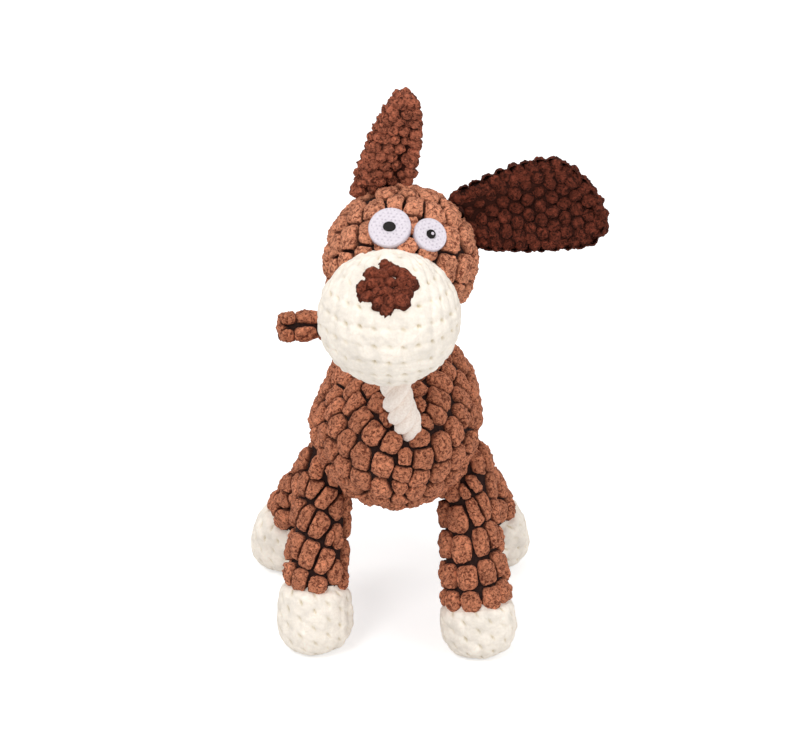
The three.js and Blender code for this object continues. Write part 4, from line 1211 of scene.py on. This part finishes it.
def make_ear(side):
    ear = Ear(side)
    bumps = Pillows()
    pitch = BUMP * BUMP_SHARE[side]
    half = pitch * BUMP_HALF
    places, rims = [], []

    def place(along, angle, room, on_rim=False):
        point = ear.at(along, angle)
        if along < -4 or along > ear.length - 0.8 or head.inside(point, -1.5):
            return
        if places and np.linalg.norm(np.array(places) - point, axis=1).min() < room * pitch:
            return
        places.append(point)
        rims.append(on_rim)
        up = ear.up(along, angle)
        bumps.add(point - BUMP_HIGH * up, up, ear.heading, half, half, BUMP_HIGH, 0.03, 0.02)

    for edge_angle in (0.0, math.pi):
        for number, tilt in enumerate(RIM_TILTS[side]):
            line = np.linspace(-3, ear.length - 0.8, 200)
            edge = np.array([ear.at(along, edge_angle + tilt) for along in line])
            arcs = np.concatenate([[0], np.cumsum(np.linalg.norm(np.diff(edge, axis=0), axis=1))])
            for along in np.interp(np.arange(0.5 * pitch * (number % 2), arcs[-1], pitch * 0.95), arcs, line):
                place(along, edge_angle + tilt, RIM_ROOM, on_rim=True)
    for row in range(int((ear.length + 4) / (pitch * ROW_STEP)) + 1):
        along = -4 + row * pitch * ROW_STEP
        off, width, _ = ear.halves(along / ear.length)
        for step in range(-12, 13):
            share = ((step + 0.5 * (row % 2)) * pitch - off) / max(width, 0.1)
            if abs(share) < 0.99:
                angle = math.acos(math.copysign(abs(share) ** 1.25, share))
                place(along, angle, FACE_ROOM, on_rim=abs(share) > 0.85)
                place(along, -angle, FACE_ROOM, on_rim=abs(share) > 0.85)
    for along in np.arange(-4, ear.length, 0.3 * pitch):
        for angle in np.linspace(0, 2 * math.pi, 64, endpoint=False):
            place(along, angle, FILL_ROOM, on_rim=abs(math.cos(angle)) > 0.75)
    points, faces, rise, tone = bumps.planted(
        ear_bump, jitter=0.12, twist=12, lumps=0.3, fleece=0.3, crease=None, seed=101
    )
    # Rim bumps take less of the painted shade at their foot, so the ear's outline stays brown.
    rise = np.where(np.repeat(rims, len(ear_bump[0])), 0.5 + 0.5 * rise, rise)
    stations = np.linspace(-3, ear.length - 2.0, 40)
    angles = np.linspace(0, 2 * np.pi, 40, endpoint=False)
    base_points = [ear.at(along, angle, BUMP_HIGH - 0.7) for along in stations for angle in angles]
    tip = ear.at(ear.length - 2.0, 0) / 2 + ear.at(ear.length - 2.0, math.pi) / 2
    base_points += [ear.seat - 3 * ear.heading, tip]
    # The right ear takes the lighter copy of the ear plush: painted light.
    piece = plush_piece(
        f"ear_plush_{side}", (np.array(base_points), grid_faces(40, 40)), (points, faces, rise, tone),
        ear_backing, ear_pile if side == "left" else ear_painted_light_pile,
    )
    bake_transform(piece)
    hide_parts(f"ear_{side}_front", f"ear_{side}_back")


for side in ("left", "right"):
    make_ear(side)

# %% [markdown]
# ## Nose
#
# The nose is a small patch of the dark cloth sewn on the muzzle: twenty bumps in a rounded triangle, over a
# lower and wider layer that closes the gaps between them and is darkened with painted shade.

# %% Nose
NOSE_HIGH, NOSE_WIDE = 4.4, 6.3
NOSE_LAYERS = ((0.7, 2.0, 8.2), (2.3, NOSE_HIGH, NOSE_WIDE))  # mm proud of the muzzle, height and width
NOSE = [  # degrees round and above level on the muzzle
    (-6, 73), (-31, 62), (-11, 63), (8, 67), (23, 63), (-32, 48), (-24, 53), (-13, 54), (2, 56), (16, 55),
    (28, 54), (-23, 42), (-13, 45), (-3, 47), (9, 47), (19, 47), (-10, 39), (0, 39), (13, 40), (-2, 34),
]
nose_parts = []
for proud, high, wide in NOSE_LAYERS:
    nose_pillows = Pillows()
    layer = Ball(muzzle.middle, muzzle.half + proud)
    lay_on_ball(nose_pillows, layer, [(*place, 1, 1, 0) for place in NOSE], high, wide)
    points, faces, rise, tone = nose_pillows.planted(
        ear_bump, jitter=0.1, twist=20, lumps=0.35, fleece=0.3, crease=None, seed=111
    )
    # Painted shade: the lower layer takes a low share of the height, so it goes dark between the bumps.
    nose_parts.append((points, faces, 0, rise if high == NOSE_HIGH else 0.3, tone))
nose_plush = mesh_piece("nose_plush", nose_parts, [nose_pile])
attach(nose_plush, "head")
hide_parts("nose_pad")

# %% [markdown]
# ## Eyes
#
# The eyes are embroidered: flat discs of white thread with a satin rim, and a dark pupil stitched on top.

# %% Eyes
EYE_RISE = 0.5
GLINT_UP, GLINT_RADIUS = 0.55, 0.62  # the pale stitches on the left pupil


def thread(name, colour, shade, rough=0.55):
    material, nodes, links, shader = new_material(name)
    lie = noise_node(nodes, links, 1500, 2.0)
    rise = attribute_node(nodes, "rise")
    shades = ramp_node(nodes, links, rise.outputs["Fac"], (0.0, shade), (1.0, colour))
    speck = ramp_node(nodes, links, lie.outputs["Fac"], (0.35, (0.9,) * 3), (0.6, (1.0,) * 3))
    tint = mix_node(nodes, links, "MULTIPLY", 1.0, shades.outputs["Color"], speck.outputs["Color"])
    links.new(tint, shader.inputs["Base Color"])
    dull(shader, rough, 0.15)
    return material


white_thread = thread("white_thread", linear(227, 219, 227), linear(158, 146, 162))
black_thread = thread("black_thread", linear(26, 21, 19), linear(10, 8, 8), 0.45)


def stitched_disc(
    name, middle, out, half, thickness, rim, material, pitch=1.7, dimple=0.25, cells=64, depth=0.5
):
    """A slightly domed disc of close stitches: small dimples in staggered rows inside a raised satin rim."""
    up = unit(np.array([0, 0, 1]) - out[2] * out)
    across = np.cross(up, out)
    count, rings = 120, cells
    radii = np.linspace(0, 1, rings + 1)[1:]
    angles = np.linspace(0, 2 * np.pi, count, endpoint=False)
    x = (radii[:, None] * np.cos(angles)).ravel() * half[0]
    y = (radii[:, None] * np.sin(angles)).ravel() * half[1]
    share = np.repeat(radii, count)
    row = np.round(y / (pitch * 0.8))
    column = x / pitch + 0.5 * (row % 2) + 0.16 * np.sin(5.1 * row + 2.3 * np.round(x / pitch))
    spot = np.exp(-((column - np.round(column)) ** 2 * pitch**2 + (y - row * pitch * 0.8) ** 2) / 0.08)
    edge = np.clip((share - (1 - rim / half[0])) / (rim / half[0]), 0, 1)
    inner = 1 - (share > 1 - rim / half[0])
    satin = 0.5 + 0.5 * np.sin(np.repeat(np.arange(count)[None], rings, 0).ravel() * 2 * np.pi * 30 / count)
    height = thickness * np.sqrt(np.clip(1 - np.clip(share - 0.93, 0, 1) ** 2 / 0.07**2, 0, 1))
    height = height - dimple * spot * inner + 0.12 * np.sin(np.pi * edge) - 0.05 * satin * (edge > 0)
    rise = np.clip(1 - 0.6 * spot * inner - 0.3 * edge, 0, 1)
    top = middle + x[:, None] * across + y[:, None] * up + height[:, None] * out
    rim_back = middle + x[-count:, None] * across + y[-count:, None] * up - depth * out
    points = np.vstack([top, rim_back, [middle + thickness * out], [middle - depth * out]])
    faces = grid_faces(rings + 1, count, closed_ends=False)
    centre, back, last = len(points) - 2, len(points) - 1, rings * count
    for i in range(count):
        j = (i + 1) % count
        faces.append([centre, j, i])
        faces.append([back, last + i, last + j])
    rise = np.concatenate([rise, np.zeros(count), [1.0, 0.0]])
    return mesh_piece(name, [(points, faces, 0, rise, 0.0)], [material])


for side, eye in EYES.items():
    out = eye_direction(eye)
    face = head.middle + (head.half[0] - 0.5) * out
    patch = stitched_disc(
        f"eye_patch_{side}_stitched", face, out, (eye["radius"],) * 2, EYE_RISE, 0.8, white_thread, depth=2.4
    )
    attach(patch, "head")
    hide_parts(f"eye_patch_{side}")
    pupil = stitched_disc(
        f"pupil_{side}_stitched", face + (EYE_RISE - 0.1) * out, out, eye["pupil"], 0.6, 0.5, black_thread,
        pitch=0.7, dimple=0.05, cells=20,
    )
    if side == "left":
        pupil.data.materials.append(white_thread)
        up = unit(np.array([0, 0, 1]) - out[2] * out)
        glint = face + (EYE_RISE + 0.3) * out + GLINT_UP * np.cross(up, out)
        for polygon in pupil.data.polygons:
            if np.linalg.norm(millimetres(polygon.center) - glint) < GLINT_RADIUS:
                polygon.material_index = 1
    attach(pupil, "head")
    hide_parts(f"pupil_{side}")

# %% [markdown]
# ## Rope neck
#
# The neck is one length of soft cotton rope, three strands laid together. Each strand is a tube that winds
# round the rope's middle line, with fine ridges for its yarns, and where the chest seam grips the rope it
# is squeezed thin.

# %% Rope
ROPE_RADIUS, STRAND_RADIUS, STRAND_TURN = 6.2, 3.55, 21.5
CHEST_KNOT = np.array([0, 14, -16])
GRIP, GRIP_FROM, GRIP_RUN = 0.3, 3, 1.6  # how much the chest seam thins the rope, and where along it
YARNS, YARN_DEPTH, YARN_TURN = 9, 0.11, 26
neck_top = pivots["head_turn"]
bow = (rope_seat + neck_top) / 2 + (-3.4, -5, 0)
rope_stops = [
    rope_seat + CHEST_KNOT, rope_seat + (0, 12, -4), rope_seat + (0, 4, 2),
    bow, neck_top, head.middle - (0, 0, 9),
]


def through(stops, count=40):
    """A smooth line through the stops."""
    stops = [2 * np.asarray(stops[0]) - stops[1], *stops, 2 * np.asarray(stops[-1]) - stops[-2]]
    line = []
    for before, first, second, after in zip(stops, stops[1:], stops[2:], stops[3:]):
        t = np.linspace(0, 1, count, endpoint=False)[:, None]
        line.append(
            0.5 * (2 * first + (second - before) * t + (2 * before - 5 * first + 4 * second - after) * t**2
                   + (3 * first - before - 3 * second + after) * t**3)
        )
    return np.vstack([*line, [stops[-2]]])


rope_line = Limb(through(rope_stops), (1, 0, 0), lambda along: ROPE_RADIUS)
seat_along = float(rope_line.lengths[np.argmin(np.linalg.norm(rope_line.line - rope_seat, axis=1))])
rings, count = 190, 44
stations = np.linspace(0, rope_line.length, rings)
parts = []
for strand in range(3):
    points = []
    for along in stations:
        middle, wide, thick = rope_line.station(along)
        grip = 1 - GRIP / (1 + math.exp((along - seat_along - GRIP_FROM) / GRIP_RUN))
        turn = 2 * math.pi * (along / STRAND_TURN + strand / 3)
        radial = math.cos(turn) * wide + math.sin(turn) * thick
        sideways = -math.sin(turn) * wide + math.cos(turn) * thick
        centre = middle + (ROPE_RADIUS - STRAND_RADIUS) * grip * radial
        for k in range(count):
            angle = 2 * math.pi * k / count
            yarn = YARN_DEPTH * math.cos(YARNS * (angle + 2 * math.pi * along / YARN_TURN))
            size = (STRAND_RADIUS + yarn) * grip
            points.append(centre + size * (math.cos(angle) * radial + 1.06 * math.sin(angle) * sideways))
    points += [rope_line.station(stations[0])[0], rope_line.station(stations[-1])[0]]
    points = np.array(points)
    points += (0.06 * waves(points, 1.5, seed=121 + strand))[:, None] * (0, 0, 1)
    parts.append((points, grid_faces(rings, count), 0, 1.0, 0.0))
rope_cotton, nodes, links, shader = new_material("rope_cotton")
fibre = noise_node(nodes, links, 1300, 2.0)
cotton = ramp_node(
    nodes, links, fibre.outputs["Fac"], (0.3, linear(240, 224, 212)), (0.65, linear(254, 243, 233))
)
links.new(cotton.outputs["Color"], shader.inputs["Base Color"])
shader.inputs["Roughness"].default_value = 0.85
shader.inputs["Sheen Weight"].default_value = 0.15
neck_rope_twisted = mesh_piece("neck_rope_twisted", parts, [rope_cotton])
tuple(rope_line.station(seat_along - 4)[0] * MM)
tuple(rope_line.station(seat_along + 20)[0] * MM)
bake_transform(neck_rope_twisted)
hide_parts("neck_rope")

# %% [markdown]
# ## Stuffing
#
# Nothing of the stuffing shows, but the toy has it, and a later look inside should find fibre fill and not
# hard eggs. Each stuffing is a copy of the CAD form with a finer mesh and lumps of fibre.

# %% Stuffing
fill_fibre, nodes, links, shader = new_material("fill_fibre")
strands = noise_node(nodes, links, 400, 5.0, 0.7)
fluff = ramp_node(
    nodes, links, strands.outputs["Fac"], (0.3, linear(222, 220, 214)), (0.7, linear(247, 246, 242))
)
links.new(fluff.outputs["Color"], shader.inputs["Base Color"])
shader.inputs["Roughness"].default_value = 0.9
shader.inputs["Sheen Weight"].default_value = 0.4

SINK, SINK_ELSE = {"body": 1.4, "leg_": 4.8}, 2.8  # mm that the fibre lies under the CAD form
bodies_of_nodes = {
    node: body_name
    for body_name, body_nodes in frame["record"]["behaviour"]["bodies"].items()
    for node in body_nodes
}
for node in sorted(n for n in frame["nodes"] if "stuffing" in n):
    source = frame["nodes"][node]
    mesh = source.data.copy()
    mesh.name = node + "_fibre"
    fibre_piece = bpy.data.objects.new(node + "_fibre", mesh)
    bpy.context.scene.collection.objects.link(fibre_piece)
    remesh = fibre_piece.modifiers.new("even mesh", "REMESH")
    remesh.mode, remesh.voxel_size = "VOXEL", 0.0016
    shrink = fibre_piece.modifiers.new("smooth", "SMOOTH")
    shrink.factor, shrink.iterations = 0.5, 6
    evaluated = fibre_piece.evaluated_get(bpy.context.evaluated_depsgraph_get())
    even = bpy.data.meshes.new_from_object(evaluated)
    fibre_piece.modifiers.clear()
    fibre_piece.data = even
    co = np.zeros(len(even.vertices) * 3)
    even.vertices.foreach_get("co", co)
    co = co.reshape(-1, 3) / MM
    normal = np.zeros(len(even.vertices) * 3)
    even.vertices.foreach_get("normal", normal)
    sink = SINK.get(node[:4], SINK_ELSE)
    depth = sink + 0.45 * waves(co, 6, seed=131) + 0.2 * waves(co, 3, seed=132)
    co -= depth[:, None] * normal.reshape(-1, 3)
    if node.startswith("body"):
        co = narrowed(co)
    even.vertices.foreach_set("co", (co * MM).ravel())
    even.polygons.foreach_set("use_smooth", [True] * len(even.polygons))
    even.materials.clear()
    even.materials.append(fill_fibre)
    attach(fibre_piece, bodies_of_nodes[node])
    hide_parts(node)

# %% [markdown]
# ## Squeaker
#
# The squeaker is moulded plastic, so its CAD pieces only get plastic that shows the cloudiness and faint
# flow marks of a cheap moulding. The dome is a copy of the CAD's, because a squeeze flattens it.

# %% Squeaker plastics
def moulded(name, colour, cloud, rough):
    material, nodes, links, shader = new_material(name)
    flow = noise_node(nodes, links, 90, 4.0, 0.6)
    shades = ramp_node(nodes, links, flow.outputs["Fac"], (0.3, cloud), (0.7, colour))
    links.new(shades.outputs["Color"], shader.inputs["Base Color"])
    grain = noise_node(nodes, links, 2500, 2.0)
    rub = ramp_node(nodes, links, grain.outputs["Fac"], (0.3, (rough - 0.08,) * 3), (0.7, (rough + 0.1,) * 3))
    links.new(rub.outputs["Color"], shader.inputs["Roughness"])
    return material


plastics = {
    "squeaker_base": moulded("bellows_base", linear(226, 232, 236), linear(208, 216, 222), 0.45),
    "squeaker_dome": moulded("bellows_dome", linear(232, 237, 241), linear(216, 224, 230), 0.4),
    "squeaker_whistle": moulded("whistle", linear(214, 70, 50), linear(190, 54, 38), 0.35),
    "squeaker_reed": moulded("reed", linear(244, 244, 240), linear(228, 228, 222), 0.3),
}
for node, plastic in plastics.items():
    frame["nodes"][node].data.materials.clear()
    frame["nodes"][node].data.materials.append(plastic)

dome_node = frame["nodes"]["squeaker_dome"]
dome_shell = bpy.data.objects.new("squeaker_dome_shell", dome_node.data.copy())
dome_shell.matrix_world = dome_node.matrix_world.copy()
bpy.context.scene.collection.objects.link(dome_shell)
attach(dome_shell, "squeaker_top")
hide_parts("squeaker_dome")
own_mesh(dome_shell)

# %% [markdown]
# ## Floor and light
#
# A product photograph of this kind is taken in a white tent: one broad soft light from above and in front,
# plenty of fill, and a white floor. The floor keeps the toy's shadow, and where nothing shades it, it goes
# to plain white for the camera without lighting the toy more.

# %% Floor
floor_mesh = bpy.data.meshes.new("floor")
SIZE = 6.0
corners = [(-SIZE, -SIZE, 0), (SIZE, -SIZE, 0), (SIZE, SIZE, 0), (-SIZE, SIZE, 0)]
floor_mesh.from_pydata(corners, [], [(0, 1, 2, 3)])
floor = bpy.data.objects.new("floor", floor_mesh)
bpy.context.scene.collection.objects.link(floor)
paper, nodes, links, shader = new_material("white_paper")
shader.inputs["Base Color"].default_value = (0.8, 0.8, 0.8, 1)
dull(shader, 1.0, 0.0)
glow = nodes.new("ShaderNodeEmission")
glow.inputs["Color"].default_value = (1, 1, 1, 1)
path = nodes.new("ShaderNodeLightPath")
seen = math_node(nodes, links, "MAXIMUM", path.outputs["Is Camera Ray"], path.outputs["Is Glossy Ray"])
seen = math_node(nodes, links, "MAXIMUM", seen, path.outputs["Is Transmission Ray"])
links.new(math_node(nodes, links, "MULTIPLY", seen, 0.5), glow.inputs["Strength"])
both = nodes.new("ShaderNodeAddShader")
links.new(shader.outputs[0], both.inputs[0])
links.new(glow.outputs[0], both.inputs[1])
links.new(both.outputs[0], nodes["Material Output"].inputs["Surface"])
floor_mesh.materials.append(paper)

# %% World and lamps
world = bpy.data.worlds.new("white_tent")
bpy.context.scene.world = world
world.use_nodes = True
nodes, links = world.node_tree.nodes, world.node_tree.links
background = nodes["Background"]
path = nodes.new("ShaderNodeLightPath")
seen = math_node(nodes, links, "MAXIMUM", path.outputs["Is Camera Ray"], path.outputs["Is Glossy Ray"])
level = nodes.new("ShaderNodeMapRange")
level.inputs["To Min"].default_value = 0.62
level.inputs["To Max"].default_value = 1.0
links.new(seen, level.inputs["Value"])
links.new(level.outputs["Result"], background.inputs["Strength"])
background.inputs["Color"].default_value = (1, 1, 1, 1)


def area_lamp(name, place, target, size, watts):
    data = bpy.data.lights.new(name, "AREA")
    data.shape, data.size, data.energy = "DISK", size, watts
    lamp = bpy.data.objects.new(name, data)
    lamp.location = place
    lamp.rotation_euler = (Vector(target) - Vector(place)).to_track_quat("-Z", "Y").to_euler()
    bpy.context.scene.collection.objects.link(lamp)


area_lamp("main_softbox", (-0.7, -1.1, 1.5), (0, 0, 0.1), 0.8, 11)
area_lamp("top_softbox", (-0.2, 0.1, 1.8), (0, 0, 0.1), 0.8, 6)
area_lamp("fill_softbox", (1.1, -0.9, 0.7), (0, 0, 0.1), 0.9, 5)
print("floor, world and three softboxes")
